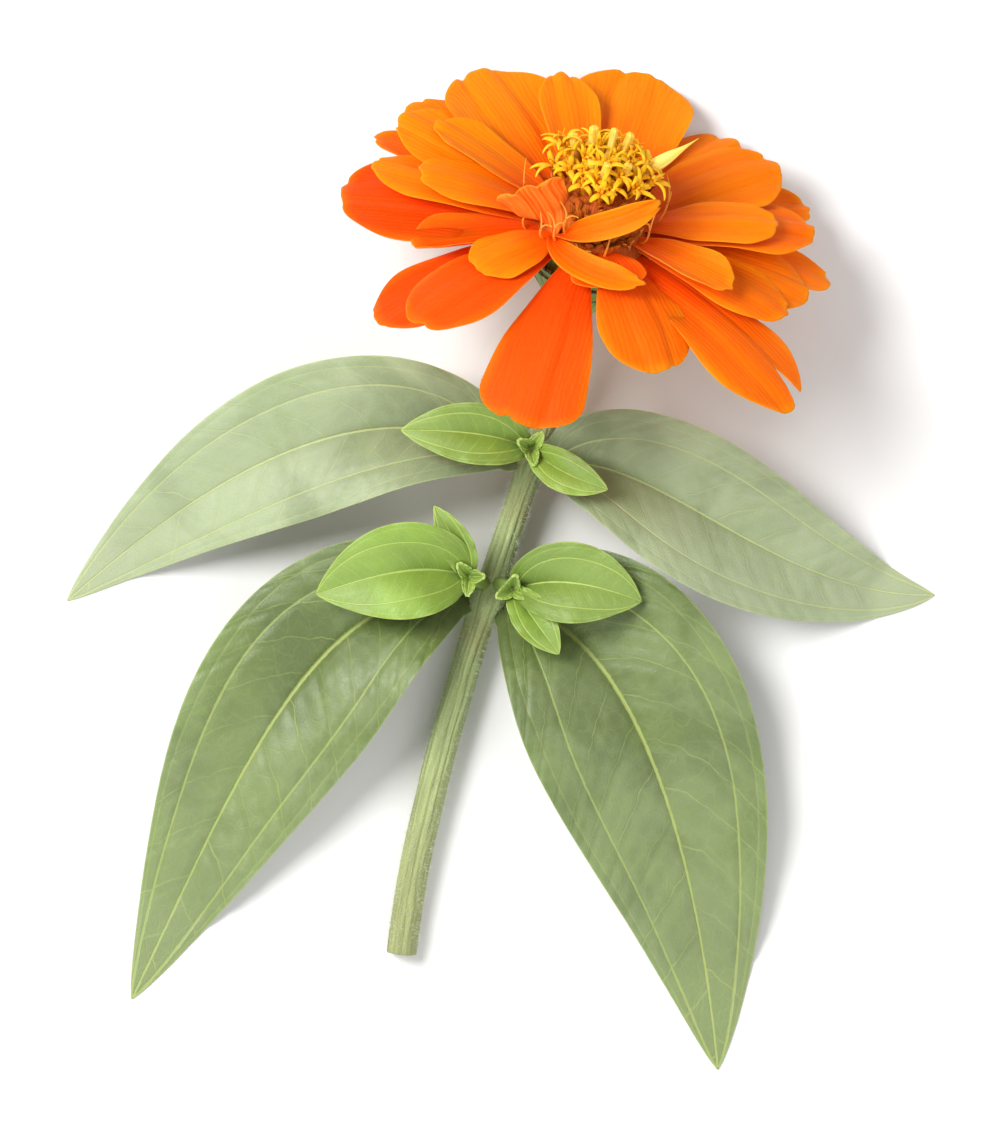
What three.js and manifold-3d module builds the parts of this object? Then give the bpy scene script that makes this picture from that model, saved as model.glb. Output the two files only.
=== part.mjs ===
// One picked zinnia flower, lying on a flat surface: bloom, stem, two pairs of leaves and three
// young side shoots. Millimetres, +Z up from the surface, +Y along the stem towards the bloom.
// The origin is on the surface, under the middle of the flower.
import * as THREE from 'three';
import { mergeVertices } from 'three/addons/utils/BufferGeometryUtils.js';
import Module from 'manifold-3d';

const wasm = await Module();
wasm.setup();

// ---------------------------------------------------------------- driving dimensions
const GAP = 0.3; // between two pieces that touch on the real flower
const BLOOM_CENTRE = new THREE.Vector3(15.0, 53.0, 25.4); // where the rays meet the axis of the bloom
const MIDDLE = [-0.14, -2.75]; // the point of these measures that lies over the origin
const BLOOM_LIFT = 38; // degrees from the surface up to the bloom's axis
const BLOOM_LEAN = 10; // degrees that the axis leans to the right of the stem, seen from above
const STEM_RADIUS = 2.6;
const CUT_END = new THREE.Vector3(-17.0, -68.0, STEM_RADIUS - 0.12); // middle of the cut end
const NODE_UPPER = 0.675; // share of the stem from the cut end up to the upper pair of leaves
const NODE_LOWER = 0.475; // and up to the lower pair
const NECK = 24; // length over which the stem straightens into the bloom's axis
const BLADE = 0.8; // thickness of a leaf
const PETAL = 0.64; // thickness of a ray
const BRACT_THICKNESS = 0.7;
const SCALE_THICKNESS = 0.7;
const PRESS = 0.05; // how far a blade that lies on the surface is flattened against it
const ROOT = 0.6; // how far a leaf's base is drawn into the stem before it is cut clear of it

// Heights along the bloom's axis, from the level where the lowest rays leave it.
const CUP_FOOT = -13;
const CORE_TOP = 4.6;
const CONE_TOP = 11.4;
const FLORET_TOP = 24;
// Radii of the core that the rays leave, of the cone of scales above it and of the disc.
const CORE_RADIUS = 9.6;
const CONE_RADIUS = 8.4;
const DISC_RADIUS = 7.9;
const FLORET_REACH = 11.4; // of the open florets, from the middle of the disc
const DISC_BACK = 1.6; // how far the disc's middle lies behind the axis, away from the viewer

const rad = THREE.MathUtils.degToRad;
const GOLDEN_ANGLE = 137.508;

// A fixed draw between -1 and 1 for number i of a set.
function wobble(i, set) {
  const x = Math.sin(i * 12.9898 + set * 78.233) * 43758.5453;
  return 2 * (x - Math.floor(x)) - 1;
}

const smooth = (x) => THREE.MathUtils.smoothstep(x, 0, 1);

// ---------------------------------------------------------------- closed solids from formulas
function geometryOf(points, faces) {
  const geometry = new THREE.BufferGeometry();
  geometry.setAttribute('position', new THREE.Float32BufferAttribute(points.flatMap((p) => p.toArray()), 3));
  geometry.setIndex(faces.flat());
  return geometry;
}

// A thin blade: the sheet surface(s, q), s from 0 at the root to 1 at the tip and q from -1 to 1
// across, thickened evenly to both sides. The rows across lie closer near its edges. Both faces are
// split along the same diagonals.
function blade(surface, thickness, along, across) {
  const step = 1e-3;
  const top = [];
  const bottom = [];
  for (let i = 0; i <= along; i++) {
    for (let j = 0; j <= across; j++) {
      const s = i / along;
      const q = Math.sin((Math.PI / 2) * ((2 * j) / across - 1));
      const alongWay = surface(s + step, q).sub(surface(s - step, q));
      const acrossWay = surface(s, q + step).sub(surface(s, q - step));
      const normal = alongWay.cross(acrossWay).normalize();
      const middle = surface(s, q);
      top.push(middle.clone().addScaledVector(normal, thickness / 2));
      bottom.push(middle.addScaledVector(normal, -thickness / 2));
    }
  }
  const at = (i, j) => i * (across + 1) + j;
  const under = top.length;
  const faces = [];
  for (let i = 0; i < along; i++) {
    for (let j = 0; j < across; j++) {
      const [a, b, c, d] = [at(i, j), at(i + 1, j), at(i + 1, j + 1), at(i, j + 1)];
      faces.push([a, b, c], [a, c, d], [under + a, under + c, under + b], [under + a, under + d, under + c]);
    }
  }
  const rim = [];
  for (let i = 0; i < along; i++) rim.push(at(i, 0));
  for (let j = 0; j < across; j++) rim.push(at(along, j));
  for (let i = along; i > 0; i--) rim.push(at(i, across));
  for (let j = across; j > 0; j--) rim.push(at(0, j));
  rim.forEach((p, k) => {
    const next = rim[(k + 1) % rim.length];
    faces.push([next, p, under + p], [next, under + p, under + next]);
  });
  return geometryOf([...top, ...bottom], faces);
}

// A closed skin over rings of equally many points, with a flat cap at each end.
function skin(rings) {
  const sides = rings[0].length;
  const points = rings.flat();
  const faces = [];
  for (let i = 0; i + 1 < rings.length; i++) {
    for (let k = 0; k < sides; k++) {
      const [a, b] = [i * sides + k, i * sides + ((k + 1) % sides)];
      faces.push([a, b, b + sides], [a, b + sides, a + sides]);
    }
  }
  const last = (rings.length - 1) * sides;
  for (let k = 1; k + 1 < sides; k++) {
    faces.push([0, k + 1, k], [last, last + k, last + k + 1]);
  }
  return geometryOf(points, faces);
}

// A round solid along a curve, whose radius is a function of the share of its length.
function tapered(curve, radiusAt, steps, sides) {
  const rings = [];
  const up = new THREE.Vector3(0, 0, 1);
  for (let i = 0; i <= steps; i++) {
    const t = i / steps;
    const centre = curve.getPoint(t);
    const ahead = curve.getTangent(t);
    const right = ahead.clone().cross(up).normalize();
    const over = right.clone().cross(ahead);
    const ring = [];
    for (let k = 0; k < sides; k++) {
      const turn = ((k + 0.5) * 2 * Math.PI) / sides;
      ring.push(centre.clone()
        .addScaledVector(right, radiusAt(t) * Math.cos(turn))
        .addScaledVector(over, -radiusAt(t) * Math.sin(turn)));
    }
    rings.push(ring);
  }
  return skin(rings);
}

// A turned solid about +Z, from pairs of radius and height that start and end on the axis.
function turned(profile, sides) {
  const outline = profile.map(([r, h]) => new THREE.Vector2(r, h));
  return new THREE.LatheGeometry(outline, sides).rotateX(Math.PI / 2);
}

function solid(geometry) {
  const bare = geometry.clone();
  bare.deleteAttribute('normal');
  bare.deleteAttribute('uv');
  const merged = mergeVertices(bare, 1e-4);
  return new wasm.Manifold(new wasm.Mesh({
    numProp: 3,
    vertProperties: merged.attributes.position.array,
    triVerts: new Uint32Array(merged.index.array),
  }));
}

const union = (geometries) => wasm.Manifold.union(geometries.map(solid));

// The surface that the flower lies on, as a solid below it.
function surfaceBlock(matrix = new THREE.Matrix4()) {
  const [size, depth] = [600, 60];
  return solid(new THREE.BoxGeometry(size, size, depth).translate(0, 0, -depth / 2).applyMatrix4(matrix));
}

// The largest single body of a solid, for where a cut leaves loose scraps.
function largestBody(made) {
  return made.decompose().reduce((best, body) => (body.volume() > best.volume() ? body : best));
}

function meshOf(name, made, material) {
  const { numProp, numVert, vertProperties, triVerts } = largestBody(made).getMesh();
  const position = new Float32Array(numVert * 3);
  for (let i = 0; i < numVert; i++) {
    position.set(vertProperties.subarray(i * numProp, i * numProp + 3), i * 3);
  }
  const geometry = new THREE.BufferGeometry();
  geometry.setAttribute('position', new THREE.BufferAttribute(position, 3));
  geometry.setIndex(new THREE.BufferAttribute(new Uint32Array(triVerts), 1));
  geometry.computeVertexNormals();
  const mesh = new THREE.Mesh(geometry, material);
  mesh.name = name;
  return mesh;
}

const finish = (color, roughness) => new THREE.MeshStandardMaterial({ color, roughness, metalness: 0 });
const ORANGE = finish(0xff8a10, 0.55);
const YELLOW = finish(0xf7c21a, 0.6);
const CHAFF = finish(0x6b2412, 0.75);
const BRACT = finish(0x7fa04a, 0.6);
const STEM = finish(0x86a05c, 0.6);
const SAGE = finish(0x8fa377, 0.6);
const GREEN = finish(0x4f7a26, 0.5);
const LIME = finish(0x86b034, 0.5);

// ---------------------------------------------------------------- where the bloom stands
const bloomMatrix = new THREE.Matrix4()
  .makeRotationZ(-rad(BLOOM_LEAN))
  .multiply(new THREE.Matrix4().makeRotationX(-rad(90 - BLOOM_LIFT)))
  .setPosition(BLOOM_CENTRE);
const bloomInverse = bloomMatrix.clone().invert();
const bloomAxis = new THREE.Vector3(0, 0, 1).transformDirection(bloomMatrix);

// Lifts a point of a blade's middle sheet that would lie under the surface, so that the blade is
// pressed flat where it lies down. Other points stay where they are.
function settled(point, thickness) {
  const lowest = thickness / 2 - PRESS;
  const bend = 0.7; // scale of the height over which the blade bends
  const start = 3; // in bends over the lowest level
  const above = (point.z - lowest) / bend;
  const lifted = (above + Math.hypot(above, 1) + start - Math.hypot(start, 1)) / 2;
  if (above < start) point.z = lowest + bend * Math.max(lifted, 0);
  return point;
}

// ---------------------------------------------------------------- rays
// One ray floret: heading of its tip in degrees round the axis (0 right, 90 away, 270 towards the
// viewer), reach of its tip from the axis, rise of its tip, width, arch in degrees (below 0 it bends
// over), roll about its own length, cup (above 0 its edges stand up), tip, and the degrees of heading
// that it turns through on its way.
const ray = (heading, reach, rise, width, arch, roll = 0, cup = -0.06, tip = 'round', sweep = 0) => ({
  heading, reach, rise, width, arch, roll, cup, tip, sweep,
});

const LOWER_RAYS = [
  ray(104, 38.5, 5.5, 12, -18, 2, 0.03),
  ray(146, 41, 4.5, 15, -18, -5),
  ray(156.5, 42.5, 1.5, 10, -14, 3, 0.1),
  ray(178, 42.8, -0.5, 20, -22, -8, -0.04),
  ray(211.5, 38.8, -9.5, 13, -26, -4),
  ray(261, 37, -13.5, 18.5, -30, 3, -0.08, 'fan'),
  ray(328, 45.7, -9.5, 17.5, -30, -3, -0.08, 'fork'),
  ray(358, 38, -3, 15, -24, 3),
  ray(8, 42, -4.5, 11, -20, 0, 0.06),
  ray(30, 41.5, -0.5, 12, -16, 4, 0.1),
  ray(55, 37, 3.5, 15, -18, -5),
];
const MIDDLE_RAYS = [
  ray(84, 39.2, 8, 21, -18, 2, 0.03),
  ray(127.5, 39.4, 8, 22, -16, 3, 0.02),
  ray(158, 38, 8, 14, -16, -5),
  ray(175, 38.5, 5, 12.5, -16, 3),
  ray(197, 31, 0, 9, -12, 0, 0.2),
  ray(225, 38, -3.6, 15, -26, 4, -0.1),
  ray(299.5, 31.5, -4.5, 16, -30, 0, -0.1),
  ray(346, 36, -2, 12, -22, 2),
  ray(15, 38.5, 2.5, 15.5, -22, -4),
  ray(38, 37, 5.5, 16, -16, 3),
];
const INNER_RAYS = [
  ray(10, 31.4, 6, 11, -16, 3),
  ray(107, 33, 10.5, 10.5, -14, 3, 0.05),
  ray(155, 32, 9, 10, -16, 4, 0.08),
  ray(179, 30.5, 8, 10.5, -20, -3),
  ray(222, 24.5, 2, 11, -24, 0, -0.1),
  ray(214, 15, 14.8, 12.5, -14, 62, 0.08, 'fan'),
  ray(288, 16, 2, 13, -16, 6, 0),
  ray(302, 19.3, 5.2, 5.2, -20, 30, 0.12, 'round', 82),
  ray(335, 27.5, 4, 9, -16, 0, 0.18),
  ray(322, 13.5, 16.6, 4.8, -10, 62, 0.12, 'round', 98),
];
// Where the rays of each row leave the core: distance from the axis, and height.
const LOWER_ROOT = [8.8, 0.7];
const MIDDLE_ROOT = [8.5, 2.1];
const INNER_ROOT = [7.9, 3.6];
const SUNK = 2.2; // how far a ray's root reaches into the core

// Half the width of a ray as a share of its full half width: a short claw, broadest past the middle.
function rayOutline(s, tip) {
  const broadest = tip === 'fan' ? 0.92 : 0.68;
  const claw = 0.26;
  if (s < broadest) return claw + (1 - claw) * Math.sin((Math.PI / 2) * (s / broadest)) ** 1.1;
  return 1 - 0.3 * ((s - broadest) / (1 - broadest)) ** 2;
}

// How far the tip's edge falls short of the ray's full length at q, as a share of the length.
function rayTip(q, tip, length) {
  const rounding = (tip === 'fan' ? 0.2 : 0.27) * (1 - Math.sqrt(1 - Math.min(Math.abs(q), 1) ** 2.6));
  const notch = tip === 'fork' ? 7.5 * Math.exp(-(((q - 0.31) / 0.17) ** 2)) : 0;
  const teeth = tip === 'fork' ? 0 : 0.5 * Math.exp(-(((Math.abs(q) - 0.36) / 0.1) ** 2));
  return rounding + (notch + teeth) / length;
}

// The middle line of a ray, in the bloom's own frame with its axis along +Z.
function rayLine(item, [rootReach, rootHeight]) {
  const [run, climb] = [item.reach - rootReach, item.rise - rootHeight];
  const chord = Math.hypot(run, climb);
  const arch = rad(item.arch);
  const length = (chord * arch) / 2 / Math.sin(arch / 2);
  const start = Math.atan2(climb, run) - arch / 2;
  const place = (way) => {
    const turn = start + arch * way;
    const reach = rootReach + (length / arch) * (Math.sin(turn) - Math.sin(start));
    const height = rootHeight - (length / arch) * (Math.cos(turn) - Math.cos(start));
    const heading = rad(item.heading + item.sweep * (Math.max(way, 0) - 1));
    return new THREE.Vector3(reach * Math.cos(heading), reach * Math.sin(heading), height);
  };
  return { place, length };
}

// The sheet of one ray.
function raySheet(item, root) {
  const { place, length } = rayLine(item, root);
  const axis = new THREE.Vector3(0, 0, 1);
  const sunk = SUNK / length;
  return (s, q) => {
    const way = (s * (1 + sunk) - sunk) * (1 - rayTip(q, item.tip, length) * s);
    const ahead = place(way + 0.01).sub(place(way - 0.01)).normalize();
    const side = axis.clone().cross(ahead).normalize();
    const normal = ahead.clone().cross(side);
    const roll = rad(item.roll) * smooth(way * 2.5);
    const half = (item.width / 2) * rayOutline(Math.max(way, 0), item.tip);
    const across = q * half;
    const lift = item.cup * half * (q * q - 0.35) * 2 + 0.028 * half * Math.cos(2 * Math.PI * q);
    const point = place(way)
      .addScaledVector(side, across * Math.cos(roll) - lift * Math.sin(roll))
      .addScaledVector(normal, across * Math.sin(roll) + lift * Math.cos(roll));
    return settled(point.applyMatrix4(bloomMatrix), PETAL).applyMatrix4(bloomInverse);
  };
}

// A round slab about the bloom's axis, between two heights.
const slab = (radius, low, high) => solid(turned([[0, low], [radius, low], [radius, high], [0, high]], 18));

// The room that the cone and the open florets take up, which no ray enters, drawn in by a gap. It
// lies a little behind the axis, because three short rays stand up before the cone.
function coneRoom(gap) {
  const flank = CONE_RADIUS + 1.2 - gap; // over the tips of the scales
  const brim = FLORET_REACH - gap;
  const cone = turned([
    [0, CORE_TOP], [CONE_RADIUS - gap, CORE_TOP], [flank, CORE_TOP + 2], [flank, CONE_TOP + 1], [0, CONE_TOP + 1],
  ], 14).translate(0, DISC_BACK / 2, 0);
  const disc = turned([
    [0, CONE_TOP], [flank - 0.4, CONE_TOP], [brim, CONE_TOP + 1.6], [brim, FLORET_TOP], [0, FLORET_TOP],
  ], 14).translate(0, DISC_BACK, 0);
  return union([cone, disc]);
}

function rayFlorets() {
  const core = turned([
    [0, 0], [CORE_RADIUS - 0.7, 0], [CORE_RADIUS, 0.8], [CORE_RADIUS - 0.4, 2.8],
    [CONE_RADIUS, CORE_TOP], [0, CORE_TOP],
  ], 18);
  const row = (items, root, along, across) =>
    items.map((item) => blade(raySheet(item, root), PETAL, along, across));
  return union([
    core,
    ...row(LOWER_RAYS, LOWER_ROOT, 5, 5),
    ...row(MIDDLE_RAYS, MIDDLE_ROOT, 5, 5),
    ...row(INNER_RAYS, INNER_ROOT, 5, 4),
  ]).subtract(coneRoom(0)).subtract(slab(CORE_RADIUS - 0.6, -4, 0));
}

// ---------------------------------------------------------------- cone of dry scales, disc florets
// A frame on the cone: the place at a height, angle and radius, and a sheet that leaves it at a
// slant from the axis, in degrees.
function leaning(angle, reach, height, slant) {
  const out = new THREE.Vector3(Math.cos(angle), Math.sin(angle), 0);
  const ahead = out.clone().multiplyScalar(Math.sin(slant)).setZ(Math.cos(slant));
  const side = new THREE.Vector3(-out.y, out.x, 0);
  return { root: out.clone().multiplyScalar(reach).setZ(height), ahead, side };
}

const SCALE_ROWS = [
  { height: 6.0, reach: 7.9, count: 11, slant: 34, length: 2.4 },
  { height: 7.5, reach: 7.8, count: 11, slant: 28, length: 2.6 },
  { height: 8.8, reach: 7.7, count: 10, slant: 24, length: 2.4 },
];

function scaleCone() {
  const foot = CORE_TOP + GAP;
  const cone = turned([
    [0, foot], [CONE_RADIUS - 0.9, foot], [CONE_RADIUS - 0.5, 6.2], [CONE_RADIUS - 0.6, 8.8],
    [DISC_RADIUS - 0.1, 10.6], [DISC_RADIUS - 0.5, CONE_TOP], [0, CONE_TOP],
  ], 16);
  const scales = SCALE_ROWS.flatMap((row, level) => Array.from({ length: row.count }, (_, k) => {
    const angle = (2 * Math.PI * (k + 0.5 * (level % 2))) / row.count;
    const slant = rad(row.slant + 5 * wobble(k, level));
    const { root, ahead, side } = leaning(angle, row.reach, row.height, slant);
    const length = row.length * (1 + 0.12 * wobble(k, level + 7));
    return blade((s, q) => root.clone()
      .addScaledVector(ahead, length * s - 1.0 * (1 - s))
      .addScaledVector(side, q * (1.1 - 0.85 * s)), SCALE_THICKNESS, 1, 1);
  }));
  return union([cone, ...scales]).intersect(coneRoom(GAP));
}

// One open disc floret: a tube that ends in a star of five lobes.
function starFloret(length, spread) {
  const sides = 10;
  const ring = (outer, inner, height, dip) => Array.from({ length: sides }, (_, k) => {
    const angle = (2 * Math.PI * k) / sides;
    const [r, h] = k % 2 ? [inner, height - dip] : [outer, height];
    return new THREE.Vector3(r * Math.cos(angle), r * Math.sin(angle), h);
  });
  return skin([
    ring(0.6, 0.6, -1.2, 0),
    ring(spread, 0.85, length, 0.6),
    ring(spread - 0.3, 0.55, length + 0.5, 0.5),
  ]);
}

// One quill: a young floret, still rolled up.
function quill(length, radius) {
  const ring = (r, height) => Array.from({ length: 6 }, (_, k) => {
    const angle = (2 * Math.PI * k) / 6;
    return new THREE.Vector3(r * Math.cos(angle), r * Math.sin(angle), height);
  });
  return skin([ring(radius * 0.7, -1.2), ring(radius, length * 0.75), ring(radius * 0.5, length)]);
}

const STAR_COUNT = 15;
const QUILLS = [
  // heading, distance from the axis, slant, length, radius
  [24, 6.2, 56, 12.5, 1.1],
  [52, 4.6, 14, 7.2, 0.75],
  [78, 3.2, 4, 8.4, 0.8],
  [112, 4.6, 12, 7.0, 0.75],
  [146, 4.8, 22, 6.2, 0.7],
  [330, 3.6, 12, 6.2, 0.75],
  [282, 3.4, 8, 6.8, 0.7],
  [230, 2.4, 4, 5.4, 0.7],
];

function discFlorets() {
  const foot = CONE_TOP + GAP;
  const dome = turned([
    [0, foot], [DISC_RADIUS - 0.8, foot], [DISC_RADIUS - 0.9, foot + 0.9], [4.4, foot + 1.9], [0, foot + 2.4],
  ], 14);
  const placed = (geometry, angle, reach, height, slant) => {
    const { root, ahead } = leaning(angle, reach, height, slant);
    const turn = new THREE.Quaternion().setFromUnitVectors(new THREE.Vector3(0, 0, 1), ahead);
    return geometry.applyMatrix4(new THREE.Matrix4().compose(root, turn, new THREE.Vector3(1, 1, 1)));
  };
  const stars = Array.from({ length: STAR_COUNT }, (_, k) => {
    const share = Math.sqrt((STAR_COUNT - k) / STAR_COUNT);
    const reach = (DISC_RADIUS - 1) * share;
    const height = foot + 2.3 - 1.6 * share * share;
    const slant = rad(6 + 36 * share * share + 8 * wobble(k, 21));
    const length = 2.8 + 0.5 * share + 0.5 * wobble(k, 22) + 2.0 * Math.max(wobble(k, 20), 0) ** 2;
    const spread = share > 0.42 ? 3.0 : 1.3;
    return placed(starFloret(length, spread), rad(GOLDEN_ANGLE * k), reach, height, slant);
  });
  const quills = QUILLS.map(([angle, reach, slant, length, radius]) =>
    placed(quill(length, radius), rad(angle), reach, foot + 1, rad(slant)));
  const [long, ...upright] = quills;
  return union([dome, ...stars, ...upright]).intersect(coneRoom(GAP)).add(solid(long))
    .subtract(slab(DISC_RADIUS + 0.6, foot - 4, foot));
}

// ---------------------------------------------------------------- green cup of bracts
// A row of bracts: count, foot and its height, the point that its curve bends towards, tip and its
// height, and width.
const BRACT_ROWS = [
  { count: 6, foot: 3.6, from: -12.4, mid: 8.6, midHeight: -8.4, tipReach: 9.1, tipHeight: -5.6, width: 9.4 },
  { count: 7, foot: 6.8, from: -9.6, mid: 9.4, midHeight: -5.8, tipReach: 9.9, tipHeight: -3.1, width: 9.6 },
  { count: 9, foot: 8.4, from: -6.6, mid: 9.7, midHeight: -3.6, tipReach: 10.3, tipHeight: -1.4, width: 8.2 },
];

function bractSheet(row, angle) {
  const profile = new THREE.QuadraticBezierCurve(
    new THREE.Vector2(row.foot, row.from),
    new THREE.Vector2(row.mid, row.midHeight),
    new THREE.Vector2(row.tipReach, row.tipHeight),
  );
  return (s, q) => {
    const way = s * (1 - 0.3 * Math.abs(q) ** 2.4 * s);
    const spot = profile.getPoint(way);
    const half = (row.width / 2) * (0.55 + 0.45 * Math.sin(Math.PI * Math.min(way, 0.85) * 0.75));
    const turn = angle + (q * half) / Math.max(spot.x, 4);
    return new THREE.Vector3(spot.x * Math.cos(turn), spot.x * Math.sin(turn), spot.y);
  };
}

function involucre() {
  const cup = turned([
    [0, CUP_FOOT], [3.2, CUP_FOOT], [5.6, -11.6], [8.0, -8.8], [9.1, -5], [9.2, -GAP], [0, -GAP],
  ], 16);
  const bracts = BRACT_ROWS.flatMap((row, level) => Array.from({ length: row.count }, (_, k) =>
    blade(bractSheet(row, (2 * Math.PI * (k + 0.4 * level)) / row.count), BRACT_THICKNESS, 2, 2)));
  return union([cup, ...bracts]);
}

// ---------------------------------------------------------------- stem
const stemTop = BLOOM_CENTRE.clone().addScaledVector(bloomAxis, CUP_FOOT - GAP);
const stemCurve = new THREE.CubicBezierCurve3(
  CUT_END,
  CUT_END.clone().add(new THREE.Vector3(4.5, 40.0, 2.2)),
  stemTop.clone().addScaledVector(bloomAxis, -NECK),
  stemTop,
);

const swelling = (t, at) => Math.exp(-(((t - at) / 0.022) ** 2));

function stemRadius(t) {
  const neck = 0.75 * smooth((t - 0.9) / 0.1);
  const slimming = 0.5 * smooth((t - 0.3) / 0.5);
  return STEM_RADIUS - slimming + neck + 0.75 * (swelling(t, NODE_UPPER) + swelling(t, NODE_LOWER));
}

const stemSolid = (spare) => union([tapered(stemCurve, (t) => stemRadius(t) + spare, 32, 10)]);

// ---------------------------------------------------------------- leaves
const at = (x, y, z) => new THREE.Vector3(x, y, z);

// A place on the stem's skin: share of the stem's length, and degrees round it from its right side.
function seat(t, heading, out) {
  const centre = stemCurve.getPoint(t);
  const ahead = stemCurve.getTangent(t);
  const right = ahead.clone().cross(at(0, 0, 1)).normalize();
  const over = right.clone().cross(ahead);
  const away = right.multiplyScalar(Math.cos(rad(heading))).addScaledVector(over, Math.sin(rad(heading)));
  return centre.addScaledVector(away, stemRadius(t) + out);
}

// A leaf: where it leaves the stem, the other three points of its midrib's curve, its width, the
// share of it at the root, fold (degrees that each half stands up, at the root and at the tip), roll
// about the midrib in degrees (at the root and at the tip) and wave of its edges in mm.
const LEAVES = [
  {
    name: 'leaf_upper_right', material: SAGE, node: NODE_UPPER, heading: 6,
    way: [at(24, 20, 20), at(46, -8, 11), at(74, -7, -6)],
    width: 29, base: 0.34, fold: [40, 8], roll: [-14, 4], wave: 0.9,
  },
  {
    name: 'leaf_upper_left', material: SAGE, node: NODE_UPPER, heading: 174,
    way: [at(-20, 29, 20), at(-46, 17, 12), at(-74, -8, -6)],
    width: 29, base: 0.34, fold: [36, 8], roll: [12, -3], wave: 1.0,
  },
  {
    name: 'leaf_lower_right', material: GREEN, node: NODE_LOWER, heading: -20,
    way: [at(20, -10, 15), at(33, -44, 11), at(37, -88, -7)],
    width: 43, base: 0.28, fold: [30, 4], roll: [-10, 2], wave: 1.2,
  },
  {
    name: 'leaf_lower_left', material: GREEN, node: NODE_LOWER, heading: 200,
    way: [at(-31, -4, 16), at(-44, -36, 11), at(-63, -76, -7)],
    width: 35, base: 0.3, fold: [30, 4], roll: [10, -2], wave: 1.8,
  },
];

// Half the width of a leaf as a share of its full half width: egg-shaped, with a drawn-out tip.
function leafOutline(s, base) {
  const body = Math.sin(Math.PI * Math.min(Math.max(s, 0), 1) ** 0.82) ** 0.8;
  return Math.max(body * (1 - 0.15 * s), base * (1 - smooth(s / 0.3)), 0.03);
}

function leafSheet({ midrib, width, base, fold, roll, wave }) {
  const curve = new THREE.CubicBezierCurve3(...midrib);
  const way = midrib[0].distanceTo(midrib[3]); // beyond either end, the blade runs straight on
  const up = at(0, 0, 1);
  return (s, q) => {
    const t = THREE.MathUtils.clamp(s, 0, 1);
    const ahead = curve.getTangent(t);
    const left = up.clone().cross(ahead).normalize();
    const face = ahead.clone().cross(left);
    const turn = rad(roll[0] + (roll[1] - roll[0]) * t);
    const half = (width / 2) * leafOutline(t, base);
    const stand = rad(fold[0] + (fold[1] - fold[0]) * smooth(t * 1.2));
    const bulge = 0.09 * half * Math.sin(Math.PI * Math.min(Math.abs(q), 1)) * (1 - t);
    const ripple = wave * Math.sin(9.5 * t + (q > 0 ? 0 : 2.1)) * q * q * Math.sin(Math.PI * t);
    const outward = q * half * Math.cos(stand);
    const lifted = Math.abs(q) * half * Math.sin(stand) + bulge + ripple;
    const point = curve.getPoint(t)
      .addScaledVector(ahead, (s - t) * way)
      .addScaledVector(left, outward * Math.cos(turn) - lifted * Math.sin(turn))
      .addScaledVector(face, outward * Math.sin(turn) + lifted * Math.cos(turn));
    return settled(point, BLADE);
  };
}

function leaf({ node, heading, way, ...shape }, stemRoom) {
  const midrib = [seat(node, heading, -ROOT), ...way];
  return solid(blade(leafSheet({ midrib, ...shape }), BLADE, 12, 6)).subtract(stemRoom);
}

// ---------------------------------------------------------------- young shoots
// Each shoot is a short stalk in the angle between the stem and a leaf, with small leaves that
// spread from its end. Their tips and the starts of their curves are measured from that end.
const SHOOTS = [
  {
    name: 'shoot_lower_left', node: NODE_LOWER + 0.02, heading: 120, stalk: [-2.6, 1.2, 5.5],
    leaves: [
      { tip: [-26, -3, 4], handle: [-8, 3, 6], width: 19 },
      { tip: [-6, 12, 5], handle: [-1, 4, 3], width: 6.5 },
    ],
  },
  {
    name: 'shoot_lower_right', node: NODE_LOWER + 0.025, heading: 60, stalk: [2.4, -1, 6],
    leaves: [
      { tip: [22, -2, 3.5], handle: [8, 3, 5], width: 16 },
      { tip: [8, -11, 4], handle: [3, -4, 3.5], width: 8 },
    ],
  },
  {
    name: 'shoot_upper', node: NODE_UPPER + 0.02, heading: 96, stalk: [-0.5, 0.5, 7.5],
    leaves: [
      { tip: [-22, 3, 5], handle: [-7, 3, 5], width: 12 },
      { tip: [13, -7, 5.5], handle: [4, -4, 4], width: 8 },
    ],
  },
];

function shoot({ node, heading, stalk, leaves }, stemRoom) {
  const foot = seat(node, heading, -ROOT);
  const end = foot.clone().add(at(...stalk));
  const blades = leaves.map(({ tip, handle, width }) => {
    const last = end.clone().add(at(...tip));
    const first = end.clone().add(at(...handle));
    const nearTip = last.clone().lerp(first, 0.45).add(at(0, 0, 2));
    return blade(leafSheet({
      midrib: [end.clone().add(at(0, 0, -0.9)), first, nearTip, last],
      width, base: 0.3, fold: [34, 12], roll: [0, 0], wave: 0.3,
    }), BLADE, 5, 4);
  });
  const way = new THREE.LineCurve3(foot, end);
  return union([tapered(way, (t) => 1.3 + 0.25 * t, 2, 8), ...blades]).subtract(stemRoom);
}

// ---------------------------------------------------------------- the flower
const flower = new THREE.Group();
flower.position.set(-MIDDLE[0], -MIDDLE[1], 0);
const floor = surfaceBlock();
const stemRoom = stemSolid(GAP);
flower.add(meshOf('stem', stemSolid(0).subtract(floor), STEM));
LEAVES.forEach((item) => flower.add(meshOf(item.name, leaf(item, stemRoom).subtract(floor), item.material)));
SHOOTS.forEach((item) => flower.add(meshOf(item.name, shoot(item, stemRoom), LIME)));

const bloom = new THREE.Group();
bloom.applyMatrix4(bloomMatrix);
bloom.add(meshOf('involucre', involucre(), BRACT));
bloom.add(meshOf('ray_florets', rayFlorets().subtract(surfaceBlock(bloomInverse)), ORANGE));
bloom.add(meshOf('chaff_cone', scaleCone(), CHAFF));
bloom.add(meshOf('disc_florets', discFlorets(), YELLOW));
flower.add(bloom);

export default flower;
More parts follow.
